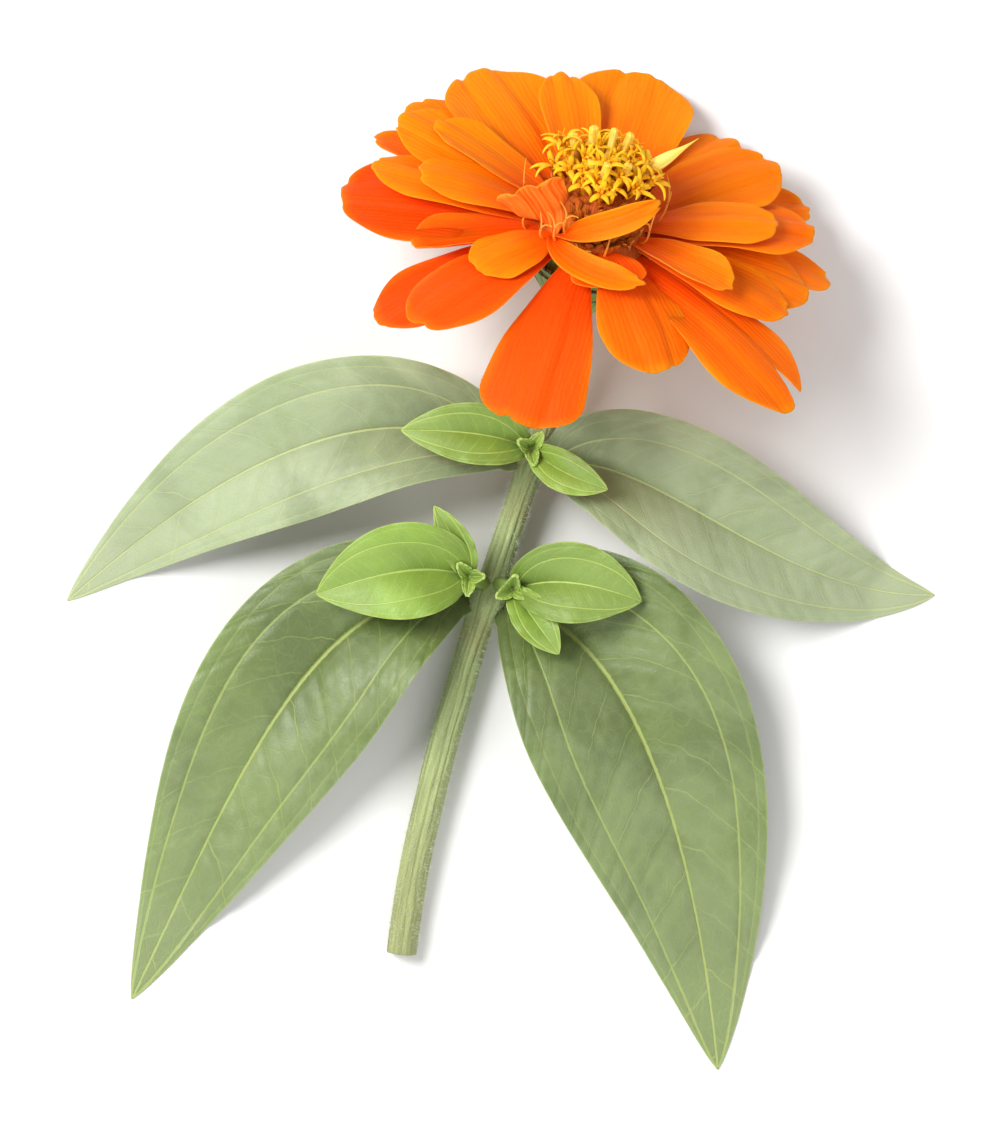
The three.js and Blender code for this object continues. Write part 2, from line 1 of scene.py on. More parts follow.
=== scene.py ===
"""Picked zinnia flower: the fine pieces, finishes, light and camera of one bloom on its stem.

Every piece repeats the sizes and formulas of the part's solids, in millimetres with +Z up from the
surface and +Y along the stem. Its points are turned into the frame's metres when its mesh is made.
"""
import math
from collections import namedtuple

import bpy
import numpy as np
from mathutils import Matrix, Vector


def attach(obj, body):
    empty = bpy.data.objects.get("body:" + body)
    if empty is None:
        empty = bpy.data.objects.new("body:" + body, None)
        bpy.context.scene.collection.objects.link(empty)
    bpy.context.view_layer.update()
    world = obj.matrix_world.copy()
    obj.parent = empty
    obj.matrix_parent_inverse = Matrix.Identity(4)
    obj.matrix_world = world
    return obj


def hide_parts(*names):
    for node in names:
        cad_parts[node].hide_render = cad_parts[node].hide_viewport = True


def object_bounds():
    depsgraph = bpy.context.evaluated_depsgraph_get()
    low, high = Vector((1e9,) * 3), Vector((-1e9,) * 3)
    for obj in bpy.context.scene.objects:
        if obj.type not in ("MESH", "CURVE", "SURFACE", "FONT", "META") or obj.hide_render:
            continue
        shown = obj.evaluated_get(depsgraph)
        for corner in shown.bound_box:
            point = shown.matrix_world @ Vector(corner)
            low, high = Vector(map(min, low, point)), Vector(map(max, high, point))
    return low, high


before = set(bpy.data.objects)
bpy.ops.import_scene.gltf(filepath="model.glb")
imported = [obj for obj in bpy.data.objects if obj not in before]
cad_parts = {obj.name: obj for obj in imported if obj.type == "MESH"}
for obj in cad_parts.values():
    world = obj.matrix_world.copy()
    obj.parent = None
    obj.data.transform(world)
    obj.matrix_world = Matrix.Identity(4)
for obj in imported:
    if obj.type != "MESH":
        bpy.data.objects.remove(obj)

bl_info = {
    "name": "Zinnia flower",
    "version": (1, 0, 0),
    "blender": (4, 5, 0),
    "location": "3D View > Sidebar > Zinnia",
    "description": "Builds the fine pieces, finishes and stage of a picked zinnia flower",
    "category": "Object",
}

CAD_BOX = [[float(v) for v in corner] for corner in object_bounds()]
MM = 0.001
UP = np.array([0.0, 0.0, 1.0])
GOLDEN_ANGLE = math.radians(137.508)

# ------------------------------------------------------------------ sizes shared with the solids
MIDDLE = np.array([-0.14, -2.75, 0.0])  # the point of these measures that lies over the origin
BLOOM_CENTRE = np.array([15.0, 53.0, 25.4])
BLOOM_LIFT, BLOOM_LEAN = 38.0, 10.0
STEM_RADIUS = 2.6
CUT_END = np.array([-17.0, -68.0, 2.48])
NODE_UPPER, NODE_LOWER = 0.675, 0.475  # places of the leaf joints, as shares of the stem
NECK = 24.0
CUP_FOOT, CORE_TOP, CONE_TOP = -13.0, 4.6, 11.4  # heights over the bloom's centre
DISC_RADIUS = 7.9
GAP = 0.3  # between two bodies that follow each other on the bloom's axis
ROOT = 0.6  # how deep a stalk stands in the stem
RAY_SUNK = 2.2  # how deep a ray stands in the core
REST = 0.02  # no piece reaches below this height

# A ray: heading, distance and height of its tip, width, degrees of arch and roll, hollow across,
# form of the tip, and degrees that it turns aside on its way.
Ray = namedtuple("Ray", "heading reach rise width arch roll cup tip sweep",
                 defaults=(0.0, -0.06, "round", 0.0))

# Rows of rays: where they leave the core (distance from the axis, height), then each ray.
RAY_ROWS = (
    ((8.8, 0.7), (
        Ray(104, 38.5, 5.5, 12, -18, 2, 0.03), Ray(146, 41, 4.5, 15, -18, -5),
        Ray(156.5, 42.5, 1.5, 10, -14, 3, 0.1), Ray(178, 42.8, -0.5, 20, -22, -8, -0.04),
        Ray(211.5, 38.8, -9.5, 13, -26, -4), Ray(261, 37, -13.5, 18.5, -30, 3, -0.08, "fan"),
        Ray(328, 45.7, -9.5, 17.5, -30, -3, -0.08, "fork"), Ray(358, 38, -3, 15, -24, 3),
        Ray(8, 42, -4.5, 11, -20, 0, 0.06), Ray(30, 41.5, -0.5, 12, -16, 4, 0.1),
        Ray(55, 37, 3.5, 15, -18, -5),
    )),
    ((8.5, 2.1), (
        Ray(84, 39.2, 8, 21, -18, 2, 0.03), Ray(127.5, 39.4, 8, 22, -16, 3, 0.02),
        Ray(158, 38, 8, 14, -16, -5), Ray(175, 38.5, 5, 12.5, -16, 3),
        Ray(197, 31, 0, 9, -12, 0, 0.2), Ray(225, 38, -3.6, 15, -26, 4, -0.1),
        Ray(299.5, 31.5, -4.5, 16, -30, 0, -0.1), Ray(346, 36, -2, 12, -22, 2),
        Ray(15, 38.5, 2.5, 15.5, -22, -4), Ray(38, 37, 5.5, 16, -16, 3),
    )),
    ((7.9, 3.6), (
        Ray(10, 31.4, 6, 11, -16, 3), Ray(107, 33, 10.5, 10.5, -14, 3, 0.05),
        Ray(155, 32, 9, 10, -16, 4, 0.08), Ray(179, 30.5, 8, 10.5, -20, -3),
        Ray(222, 24.5, 2, 11, -24, 0, -0.1), Ray(214, 15, 14.8, 12.5, -14, 62, 0.08, "fan"),
        Ray(288, 16, 2, 13, -16, 6, 0.0), Ray(302, 19.3, 5.2, 5.2, -20, 30, 0.12, "round", 82),
        Ray(335, 27.5, 4, 9, -16, 0, 0.18), Ray(322, 13.5, 16.6, 4.8, -10, 62, 0.12, "round", 98),
    )),
)

# How much painted light each ray gets, in the order of the rows: 0 paints it the deep orange red of a ray in
# shade, 1 sunlit orange.
RAY_PAINTED_LIGHT = (
    (0.80, 0.75, 0.35, 0.00, 0.00, 0.12, 0.46, 0.60, 0.65, 0.50, 0.70),
    (0.85, 0.90, 0.85, 0.75, 0.15, 0.08, 0.42, 0.50, 0.42, 0.60),
    (0.75, 0.85, 0.85, 0.75, 0.70, 0.16, 0.10, 0.45, 0.65, 0.55),
)

# A leaf: place on the stem, heading, then two handles and the tip of its midrib, width, share of the
# width at its base, degrees of fold and of roll at base and tip, and millimetres of wave.
Leaf = namedtuple("Leaf", "node heading way width base fold roll wave")
LEAVES = {
    "leaf_upper_right": Leaf(NODE_UPPER, 6, ((24, 20, 20), (46, -8, 11), (74, -7, -6)),
                             29, 0.34, (40, 8), (-14, 4), 0.9),
    "leaf_upper_left": Leaf(NODE_UPPER, 174, ((-20, 29, 20), (-46, 17, 12), (-74, -8, -6)),
                            29, 0.34, (36, 8), (12, -3), 1.0),
    "leaf_lower_right": Leaf(NODE_LOWER, -20, ((20, -10, 15), (33, -44, 11), (37, -88, -7)),
                             43, 0.28, (30, 4), (-10, 2), 1.2),
    "leaf_lower_left": Leaf(NODE_LOWER, 200, ((-31, -4, 16), (-44, -36, 11), (-63, -76, -7)),
                            35, 0.3, (30, 4), (10, -2), 1.8),
}

# Young shoots: place on the stem, stalk, then each small leaf as tip, handle and width.
Shoot = namedtuple("Shoot", "node heading stalk leaves")
SHOOTS = {
    "shoot_lower_left": Shoot(NODE_LOWER + 0.02, 120, (-2.6, 1.2, 5.5), (
        ((-26, -3, 4), (-8, 3, 6), 19), ((-6, 12, 5), (-1, 4, 3), 6.5))),
    "shoot_lower_right": Shoot(NODE_LOWER + 0.025, 60, (2.4, -1, 6), (
        ((22, -2, 3.5), (8, 3, 5), 16), ((8, -11, 4), (3, -4, 3.5), 8))),
    "shoot_upper": Shoot(NODE_UPPER + 0.02, 96, (-0.5, 0.5, 7.5), (
        ((-22, 3, 5), (-7, 3, 5), 12), ((13, -7, 5.5), (4, -4, 4), 8))),
}

# Rows of bracts: count, foot, its height, bend, its height, tip, its height, width.
BRACT_ROWS = (
    (6, 3.6, -12.4, 8.6, -8.4, 9.1, -5.6, 9.4),
    (7, 6.8, -9.6, 9.4, -5.8, 9.9, -3.1, 9.6),
    (9, 8.4, -6.6, 9.7, -3.6, 10.3, -1.4, 8.2),
)
LOBE_COUNT = 5
# Rolled young florets: heading, distance from the axis, slant, length.
QUILLS = (
    (24, 6.2, 56, 12.5), (52, 4.6, 14, 7.2), (78, 3.2, 4, 8.4), (112, 4.6, 12, 7.0),
    (146, 4.8, 22, 6.2), (330, 3.6, 12, 6.2), (282, 3.4, 8, 6.8), (230, 2.4, 4, 5.4),
)

# ------------------------------------------------------------------ sizes of the fine pieces
DISC_COUNT = 30
PALE_QUILLS = (0, 2)  # rolled florets that stay pale up to the tip
LYING_SLANT = 40  # a rolled floret that slants more than this lies over the rays, with a drawn tip

# Round bodies, as pairs of distance from the bloom's axis and height.
CUP_PROFILE = ((0, CUP_FOOT), (3.1, CUP_FOOT), (5.4, -11.6), (7.8, -8.8), (8.9, -5), (9.0, -0.2), (0, -0.2))
BED_PROFILE = ((0, 0), (8.8, 0), (9.4, 0.8), (9.0, 2.8), (8.2, CORE_TOP), (0, CORE_TOP))
CONE_PROFILE = ((0, CORE_TOP), (7.5, CORE_TOP), (7.6, 6.2), (7.5, 9.0), (7.6, 10.7), (7.0, 11.8),
                (4.4, 13.3), (0, 13.8))
# The stem's cut end: share of its radius and millimetres in front of it.
CUT_RIM = ((0.12, 0.24), (0.55, 0.23), (0.86, 0.2), (0.96, 0.12))

SCALE_COUNT, CROWN_COUNT = 210, 70  # dry scales on the side of the cone and on its top
SHORTENINGS = (1.0, 0.7, 0.45, 0.25)  # lengths tried for a scale until it is clear of the rays
STYLE_TRIES = 24
CLEARANCE = 0.3  # least gap between a scale, lobe or thread and the rays
NEARBY = 4.0  # rays further than this from the middle of such a piece can't touch it
MARK_SHEET = (0.3, 0.0)  # thickness and rib depth of the plain ray sheets that gaps are measured to

# How dark the shade of the bloom and of other leaves makes a leaf, from 0 to 1.
LEAF_SHADES = {"leaf_upper_right": 0.22, "leaf_lower_left": 0.16, "leaf_lower_right": 0.28}
SHOOT_SHADES = (0.0, 0.95, 0.45)  # the largest leaf of each shoot
SMALL_SHADE = 0.3
YOUNG_COUNT = 3  # just opened leaves in the middle of each shoot
FAR = 9.0  # the distance to a vein where a piece has none

# Soft lamps: name, place and width in metres, watts.
LIGHTS = (
    ("key", (-0.50, 0.30, 0.80), 0.50, 11.5),
    ("fill", (0.75, -0.20, 0.70), 0.80, 3.2),
    ("front", (-0.10, -0.80, 0.55), 0.60, 2.6),
)
SENSOR = 36.0  # the camera's sensor height in millimetres
FILLED = 0.885  # the share of the picture's height that the flower fills


# ------------------------------------------------------------------ small sums on points
def unit(v):
    return v / np.linalg.norm(v, axis=-1, keepdims=True)


def smooth(x):
    x = np.clip(x, 0.0, 1.0)
    return x * x * (3.0 - 2.0 * x)


def wobble(i, which):
    """A fixed draw between -1 and 1 for number i of a set."""
    x = math.sin(i * 12.9898 + which * 78.233) * 43758.5453
    return 2.0 * (x - math.floor(x)) - 1.0


def hump(x, at, wide):
    return np.exp(-(((x - at) / wide) ** 2))


def spokes(sides):
    """The angles at which a round body has its sides."""
    return np.arange(sides) * 2 * math.pi / sides


def point(*values):
    """Arrays of coordinates as one array of points."""
    return np.stack(np.broadcast_arrays(*values), axis=-1).astype(float)


def turned_x(angle):
    c, s = math.cos(angle), math.sin(angle)
    return np.array([[1, 0, 0], [0, c, -s], [0, s, c]])


def turned_z(angle):
    c, s = math.cos(angle), math.sin(angle)
    return np.array([[c, -s, 0], [s, c, 0], [0, 0, 1]])


BLOOM_TURN = turned_z(-math.radians(BLOOM_LEAN)) @ turned_x(-math.radians(90 - BLOOM_LIFT))
BLOOM_AXIS = BLOOM_TURN @ UP


def from_bloom(points):
    """Points of the bloom's own frame, whose axis is +Z, as points of the flower."""
    return points @ BLOOM_TURN.T + BLOOM_CENTRE


def to_bloom(points):
    return (points - BLOOM_CENTRE) @ BLOOM_TURN


def bezier(corners, t):
    """Places on a cubic curve and the directions it has there."""
    a, b, c, d = (np.asarray(p, float) for p in corners)
    t = np.asarray(t, float)[..., None]
    u = 1.0 - t
    place = a * u ** 3 + 3 * b * u * u * t + 3 * c * u * t * t + d * t ** 3
    ahead = (b - a) * u * u + 2 * (c - b) * u * t + (d - c) * t * t
    return place, unit(ahead)


def settled(points, thickness):
    """Presses a sheet flat where it would lie under the surface, and leaves the rest alone."""
    lowest = thickness / 2 + 0.03
    bend, start = 0.7, 3.0
    above = (points[..., 2] - lowest) / bend
    lifted = (above + np.hypot(above, 1) + start - math.hypot(start, 1)) / 2
    pressed = lowest + bend * np.maximum(lifted, 0)
    points[..., 2] = np.where(above < start, pressed, points[..., 2])
    return points


# ------------------------------------------------------------------ meshes from formulas
# A part is a dict of points, quads, triangles and named vectors on its points:
#   flat   millimetres across and along the blade, and a number of its own
#   share  share of the length, share of the half width, and 1 on the upper face
#   edge   millimetres to the rim, or radius of a round body, millimetres to the outer side vein,
#          and the piece's tint, which is painted light on the rays and painted shade on the leaves
#   veins  millimetres to the midrib and to the inner side vein, and the phase of the small veins
LAYERS = ("flat", "share", "edge", "veins")


def blade(sheet, half, length, thickness, along, across, number=0.0, tint_and_lighting=0.5, rib=None, veins=None):
    """A thin closed blade with a rounded rim, round the sheet(s, q) in millimetres."""
    run = np.linspace(0.0, 1.0, along + 1)
    run = 0.55 * run + 0.45 * np.sin(run * math.pi / 2)
    spread = np.sin(np.linspace(-1.0, 1.0, across + 1) * math.pi / 2)
    s, q = np.meshgrid(run, spread, indexing="ij")
    step = 1e-3
    normal = unit(np.cross(sheet(s + step, q) - sheet(s - step, q), sheet(s, q + step) - sheet(s, q - step)))
    middle = sheet(s, q)
    # Nearly the full thickness up to the rim, where both faces close in a small round.
    body = np.sqrt(np.clip(1 - np.abs(q) ** 10, 0, 1) * np.clip(1 - s ** 40, 0, 1))
    body *= np.sqrt(np.clip(1 - (1 - s) ** 60, 0, 1))
    upper = middle + normal * (thickness / 2 * body)[..., None]
    below = thickness / 2 * body + (rib(s, q) * body if rib else 0.0)
    lower = middle - normal * below[..., None]

    shape = s.shape
    top = np.arange(s.size).reshape(shape)
    bottom = top.copy()
    inner = (slice(1, -1), slice(1, -1))
    bottom[inner] = s.size + np.arange(bottom[inner].size).reshape(bottom[inner].shape)
    a, b, c, d = top[:-1, :-1], top[1:, :-1], top[1:, 1:], top[:-1, 1:]
    e, f, g, h = bottom[:-1, :-1], bottom[1:, :-1], bottom[1:, 1:], bottom[:-1, 1:]
    quads = np.concatenate([
        np.stack([a, b, c, d], -1).reshape(-1, 4), np.stack([e, h, g, f], -1).reshape(-1, 4)])

    width = half(s) * np.ones(shape)
    rim = np.minimum((1 - np.abs(q)) * width, (1 - s) * length)
    if veins:
        inner_vein, outer_vein, phase = veins(s, q)
    else:
        inner_vein, outer_vein, phase = (np.full(shape, FAR) for _ in range(3))

    def both(layer, under=None):
        under = layer if under is None else under
        return np.concatenate([layer.reshape(-1, 3), under[inner].reshape(-1, 3)])

    return {
        "points": both(upper, lower), "quads": quads, "triangles": np.zeros((0, 3), int),
        "flat": both(point(q * width, s * length, number)),
        "share": both(point(s, q, 1.0), point(s, q, 0.0)),
        "edge": both(point(rim, outer_vein, tint_and_lighting)),
        "veins": both(point(q * width, inner_vein, phase)),
    }


def pipe(path, radii, sides, reference=UP, number=0.0, tint_and_lighting=0.5):
    """A closed round body along a path of points; radii is one value a point, or one a corner."""
    path = np.asarray(path, float)
    steps = len(path)
    radii = np.asarray(radii, float)
    if radii.ndim == 1:
        radii = np.repeat(radii[:, None], sides, axis=1)
    ahead = unit(np.gradient(path, axis=0))
    right = unit(np.cross(ahead, reference))
    over = np.cross(right, ahead)
    turn = spokes(sides)
    ring = right[:, None] * np.cos(turn)[:, None] - over[:, None] * np.sin(turn)[:, None]
    skin = path[:, None] + ring * radii[..., None]
    index = np.arange(steps * sides).reshape(steps, sides)
    after = np.roll(index, -1, axis=1)
    quads = np.stack([index[:-1], after[:-1], after[1:], index[1:]], -1).reshape(-1, 4)
    first, last = steps * sides, steps * sides + 1
    triangles = np.concatenate([
        np.stack([np.full(sides, first), after[0], index[0]], -1),
        np.stack([np.full(sides, last), index[-1], after[-1]], -1)])
    gone = np.concatenate([[0.0], np.cumsum(np.linalg.norm(np.diff(path, axis=0), axis=1))])
    s = np.repeat((gone / gone[-1])[:, None], sides, axis=1)
    # Both halves of the round run the same way, so that the pattern has no seam.
    arc = np.broadcast_to(math.pi - np.abs(turn - math.pi), s.shape) * radii.mean()

    def whole(layer, ends):
        return np.concatenate([layer.reshape(-1, 3), np.asarray(ends, float)])

    ends = [[0, 0, number], [0, gone[-1], number]]
    return {
        "points": whole(skin, [path[0], path[-1]]), "quads": quads, "triangles": triangles,
        "flat": whole(point(arc, s * gone[-1], number), ends),
        "share": whole(point(s, turn / math.pi - 1, 1.0), [[0, 0, 1], [1, 0, 1]]),
        "edge": whole(point(radii, FAR, tint_and_lighting), [[0, FAR, tint_and_lighting]] * 2),
        "veins": whole(point(np.full_like(s, FAR), FAR, FAR), [[FAR] * 3] * 2),
    }


def turned(profile, sides, number=0.0, tint_and_lighting=0.5):
    """A body turned about +Z, from pairs of radius and height whose first and last lie on the axis."""
    profile = np.asarray(profile, float)
    fine = []
    for start, end in zip(profile[1:-2], profile[2:-1]):
        steps = max(2, int(np.linalg.norm(end - start) / 0.5))
        fine.extend(start + (end - start) * k / steps for k in range(steps))
    fine.append(profile[-2])
    fine = np.asarray(fine)
    path = np.column_stack([np.zeros(len(fine)), np.zeros(len(fine)), fine[:, 1]])
    # Points of one height are kept a hair apart, so that the path always has a direction.
    path[:, 2] += np.arange(len(path)) * 1e-6
    made = pipe(path, fine[:, 0], sides, reference=np.array([1.0, 0.0, 0.0]), number=number, tint_and_lighting=tint_and_lighting)
    made["points"][-2:, 2] = [profile[0, 1], profile[-1, 1]]
    return made


def hairs(roots, ways, lengths, radius, droop):
    """Fine tapered hairs of three sides, one for each root, with tips bent by their droop."""
    count = len(roots)
    side = unit(np.cross(ways, UP + 0.01))
    over = np.cross(ways, side)
    turn = spokes(3)
    ring = side[:, None] * np.cos(turn)[:, None] + over[:, None] * np.sin(turn)[:, None]
    reach = ways * lengths[:, None]
    middle = roots + 0.55 * reach - droop[:, None] * 0.25
    tip = roots + reach - droop[:, None]
    points = np.concatenate([
        roots[:, None] + ring * radius, middle[:, None] + ring * radius * 0.7, tip[:, None]], axis=1)
    start = (np.arange(count) * 7)[:, None]
    quads = np.concatenate([start + np.array([[k, (k + 1) % 3, 3 + (k + 1) % 3, 3 + k]]) for k in range(3)])
    triangles = np.concatenate([start + np.array([[3 + k, 3 + (k + 1) % 3, 6]]) for k in range(3)])
    s = np.tile([0, 0, 0, 0.55, 0.55, 0.55, 1.0], count)
    number = np.repeat(np.arange(count) * 0.37, 7)
    flat = point(number * 0, s, number)
    return {
        "points": points.reshape(-1, 3), "quads": quads, "triangles": triangles,
        "flat": flat, "share": point(s, 0.0, 1.0), "edge": point(s, FAR, 0.5),
        "veins": point(np.full_like(s, FAR), FAR, FAR),
    }


def on_bloom(parts):
    """Parts made in the bloom's own frame, placed on the flower."""
    return [{**part, "points": from_bloom(part["points"])} for part in parts]


def joined(parts):
    """Several parts as one."""
    offsets = np.cumsum([0] + [len(p["points"]) for p in parts[:-1]])
    out = {key: np.concatenate([p[key] for p in parts]) for key in ("points",) + LAYERS}
    for key in ("quads", "triangles"):
        out[key] = np.concatenate([p[key] + shift for p, shift in zip(parts, offsets)])
    return out


def add_piece(name, parts, material, nodes):
    """Makes one object of the parts, which are in the flower's millimetres, and ties it to the frame."""
    old = bpy.data.objects.get(name)
    if old:
        bpy.data.objects.remove(old)
    whole = joined(parts)
    whole["points"][:, 2] = np.maximum(whole["points"][:, 2], REST)
    mesh = bpy.data.meshes.new(name)
    quads, triangles = whole["quads"], whole["triangles"]
    if not len(whole["points"]):
        raise RuntimeError(f"{name} came out empty")
    mesh.vertices.add(len(whole["points"]))
    mesh.vertices.foreach_set("co", ((whole["points"] - MIDDLE) * MM).ravel())
    mesh.loops.add(quads.size + triangles.size)
    mesh.loops.foreach_set("vertex_index", np.concatenate([quads.ravel(), triangles.ravel()]))
    mesh.polygons.add(len(quads) + len(triangles))
    starts = np.concatenate([np.arange(len(quads)) * 4, quads.size + np.arange(len(triangles)) * 3])
    mesh.polygons.foreach_set("loop_start", starts)
    mesh.polygons.foreach_set("use_smooth", np.ones(len(starts), bool))
    for layer in LAYERS:
        attribute = mesh.attributes.new(layer, "FLOAT_VECTOR", "POINT")
        attribute.data.foreach_set("vector", whole[layer].ravel())
    mesh.update(calc_edges=True)
    if mesh.validate():
        raise RuntimeError(f"{name} has a faulty mesh")
    mesh.materials.append(material)
    made = bpy.data.objects.new(name, mesh)
    bpy.context.scene.collection.objects.link(made)
    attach(made, "root")
    if nodes:
        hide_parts(*nodes)
    return made


# ------------------------------------------------------------------ forms of the pieces
def ray_outline(s, tip):
    """Half the width of a ray as a share of its full half width."""
    broadest = 0.92 if tip == "fan" else 0.68
    claw = 0.26
    rising = claw + (1 - claw) * np.sin(math.pi / 2 * np.clip(s / broadest, 0, 1)) ** 1.1
    falling = 1 - 0.3 * ((s - broadest) / (1 - broadest)) ** 2
    return np.where(s < broadest, rising, falling)


def ray_sheet(item, root, number, thickness, rib_depth):
    """The middle sheet of one ray with its folds, ribs and waved rim, its half width and length."""
    run, climb = item.reach - root[0], item.rise - root[1]
    chord, arch = math.hypot(run, climb), math.radians(item.arch)
    length = chord * arch / 2 / math.sin(arch / 2)
    start = math.atan2(climb, run) - arch / 2
    sunk = RAY_SUNK / length
    lean = [wobble(number, which) for which in range(40, 48)]
    fold_at = (0.36 + 0.04 * lean[0], -0.35 + 0.04 * lean[1], 0.05 * lean[2])

    def place(way):
        turn = start + arch * way
        reach = root[0] + length / arch * (np.sin(turn) - math.sin(start))
        height = root[1] - length / arch * (np.cos(turn) - math.cos(start))
        heading = np.radians(item.heading + item.sweep * (np.maximum(way, 0) - 1))
        return point(reach * np.cos(heading), reach * np.sin(heading), height)

    def half(s):
        return item.width / 2 * ray_outline(np.maximum(s, 0), item.tip)

    def short_of_tip(q):
        rounding = (0.2 if item.tip == "fan" else 0.27) * (1 - np.sqrt(1 - np.clip(np.abs(q), 0, 1) ** 2.6))
        if item.tip == "fork":
            notch = 7.5 * hump(q, 0.31, 0.17)
        else:
            notch = (0.4 + 0.4 * lean[3]) * hump(q, fold_at[0], 0.11)
            notch = notch + (0.4 - 0.4 * lean[3]) * hump(q, fold_at[1], 0.11)
        uneven = 0.12 * np.sin(6 * q + 5 * lean[4]) + 0.05 * np.sin(13 * q + 3 * lean[5])
        return rounding + (notch + uneven) / length

    def sheet(s, q):
        way = (s * (1 + sunk) - sunk) * (1 - short_of_tip(q) * s)
        ahead = unit(place(way + 0.01) - place(way - 0.01))
        side = unit(np.cross(UP, ahead))
        normal = np.cross(ahead, side)
        roll = math.radians(item.roll) * smooth(way * 2.5)
        wide = half(way) * (1 + 0.012 * np.sin(14 * way + 6 * lean[6]))
        across = q * wide
        lift = item.cup * wide * (q * q - 0.35) * 2 + 0.028 * wide * np.cos(2 * math.pi * q)
        grown = smooth(way * 2.2)
        folds = (1.2 + 0.4 * lean[7]) * hump(q, fold_at[0], 0.075) + hump(q, fold_at[1], 0.07)
        folds = folds + 0.5 * hump(q, fold_at[2], 0.06)
        lift = lift - 0.034 * wide * folds * grown
        lift = lift + rib_depth * np.cos(2 * math.pi * across / 1.25) * (1 - q ** 4) * grown
        lift = lift + 0.05 * wide * np.abs(q) ** 5 * np.sin(11 * way + 5 * lean[2] + np.sign(q)) * grown
        lift = lift + 0.3 * smooth((way - 0.8) / 0.2) * np.sin(7 * q + 4 * lean[4])
        out = place(way) + side * (across * np.cos(roll) - lift * np.sin(roll))[..., None]
        out = out + normal * (across * np.sin(roll) + lift * np.cos(roll))[..., None]
        return settled(from_bloom(out), thickness)

    return sheet, half, length


def leaf_outline(s, base):
    """Half the width of a leaf as a share of its full half width: egg-shaped, with a drawn tip."""
    body = np.sin(math.pi * np.clip(s, 0, 1) ** 0.82) ** 0.8
    clasp = base * (1 - smooth(s / 0.3)) * (0.5 + 0.5 * np.sin(math.pi / 2 * np.clip(s / 0.045, 0, 1)))
    return np.maximum(np.maximum(body * (1 - 0.15 * s), clasp), 0.006)


def leaf_form(midrib, width, base, fold, roll, wave, thickness, vein_depth, number):
    """A leaf's middle sheet with its sunken veins, and what blade() needs to know about it."""
    way = np.linalg.norm(np.subtract(midrib[3], midrib[0]))
    line, _ = bezier(midrib, np.linspace(0, 1, 60))
    length = np.linalg.norm(np.diff(line, axis=0), axis=1).sum()
    spacing = 0.115 * length ** 0.9 * 1.25
    lean = [wobble(number, which) for which in range(60, 66)]

    def half(s):
        return width / 2 * leaf_outline(np.clip(s, 0, 1), base)

    def lanes(s):
        s = np.clip(s, 0, 1)
        inner = (0.56 + 0.16 * s) * (1 - np.exp(-s / 0.1)) + 0.025 * np.sin(9 * s + 3 * lean[0])
        outer = (0.85 + 0.06 * s) * (1 - np.exp(-s / 0.07)) + 0.015 * np.sin(14 * s + 3 * lean[1])
        return inner, outer

    def veins(s, q):
        inner, outer = lanes(s)
        wide = half(s)
        side = np.where(q > 0, 1.0, 0.0)
        leg = np.abs(q) * wide
        bow = 0.62 * leg + 0.035 * leg * leg
        phase = (s * length - bow) / spacing + 0.43 * side + 0.12 * np.sin(5 * s + 4 * side + 3 * lean[2])
        return (np.abs(q) - inner) * wide, (np.abs(q) - outer) * wide, phase + 4

    def relief(s, q):
        inner, outer, phase = veins(s, q)
        wide = half(s)
        x = np.abs(q) * wide
        small = np.abs(phase - np.round(phase)) * spacing
        between = smooth(x / 1.6) * smooth(np.abs(inner) / 1.3)
        sunk = 1.6 * np.exp(-((x / 0.95) ** 2)) * (1.1 - 0.7 * s) + 0.8 * np.exp(-((inner / 0.7) ** 2))
        sunk = sunk + 0.35 * np.exp(-((outer / 0.6) ** 2)) + 0.5 * np.exp(-((small / 0.75) ** 2)) * between
        puff = 0.42 * between * np.sin(math.pi * np.minimum(small / spacing * 2, 1))
        swell = 0.9 * np.sin(0.34 * s * length + 2 * lean[5] + np.sign(q))
        swell = swell * np.sin(0.3 * x + lean[3]) * smooth(x / 4)
        rough = 0.16 * np.sin(1.3 * x + 0.9 * s * length + lean[3]) * np.sin(0.8 * s * length - x)
        grown = smooth(s * 12) * (1 - 0.7 * smooth((s - 0.85) / 0.15))
        return vein_depth * grown * (puff + rough * between - sunk + swell)

    def sheet(s, q):
        t = np.clip(s, 0, 1)
        place, ahead = bezier(midrib, t)
        left = unit(np.cross(UP, ahead))
        face = np.cross(ahead, left)
        turn = np.radians(roll[0] + (roll[1] - roll[0]) * t)
        wide = half(t)
        stand = np.radians(fold[0] + (fold[1] - fold[0]) * smooth(t * 1.2))
        bulge = 0.09 * wide * np.sin(math.pi * np.minimum(np.abs(q), 1)) * (1 - t)
        ripple = wave * np.sin(9.5 * t + np.where(q > 0, 0, 2.1)) * q * q * np.sin(math.pi * t)
        frill = 0.28 * np.sin(31 * t + np.where(q > 0, 1.3, 0) + 3 * lean[4]) * q ** 6 * np.sin(math.pi * t)
        outward = q * wide * np.cos(stand)
        lifted = np.abs(q) * wide * np.sin(stand) + bulge + ripple + frill + relief(t, q)
        out = place + ahead * ((s - t) * way)[..., None]
        out = out + left * (outward * np.cos(turn) - lifted * np.sin(turn))[..., None]
        out = out + face * (outward * np.sin(turn) + lifted * np.cos(turn))[..., None]
        return settled(out, thickness)

    def rib(s, q):
        x = np.abs(q) * half(s)
        inner, _ = lanes(s)
        side_vein = np.exp(-((((np.abs(q) - inner) * half(s)) / 0.45) ** 2))
        return (0.75 * np.exp(-((x / 0.62) ** 2)) * (1 - 0.75 * s) + 0.14 * side_vein) * smooth(s * 9)

    return {"sheet": sheet, "half": half, "length": length, "thickness": thickness, "rib": rib,
            "veins": veins, "number": number * 17.3}


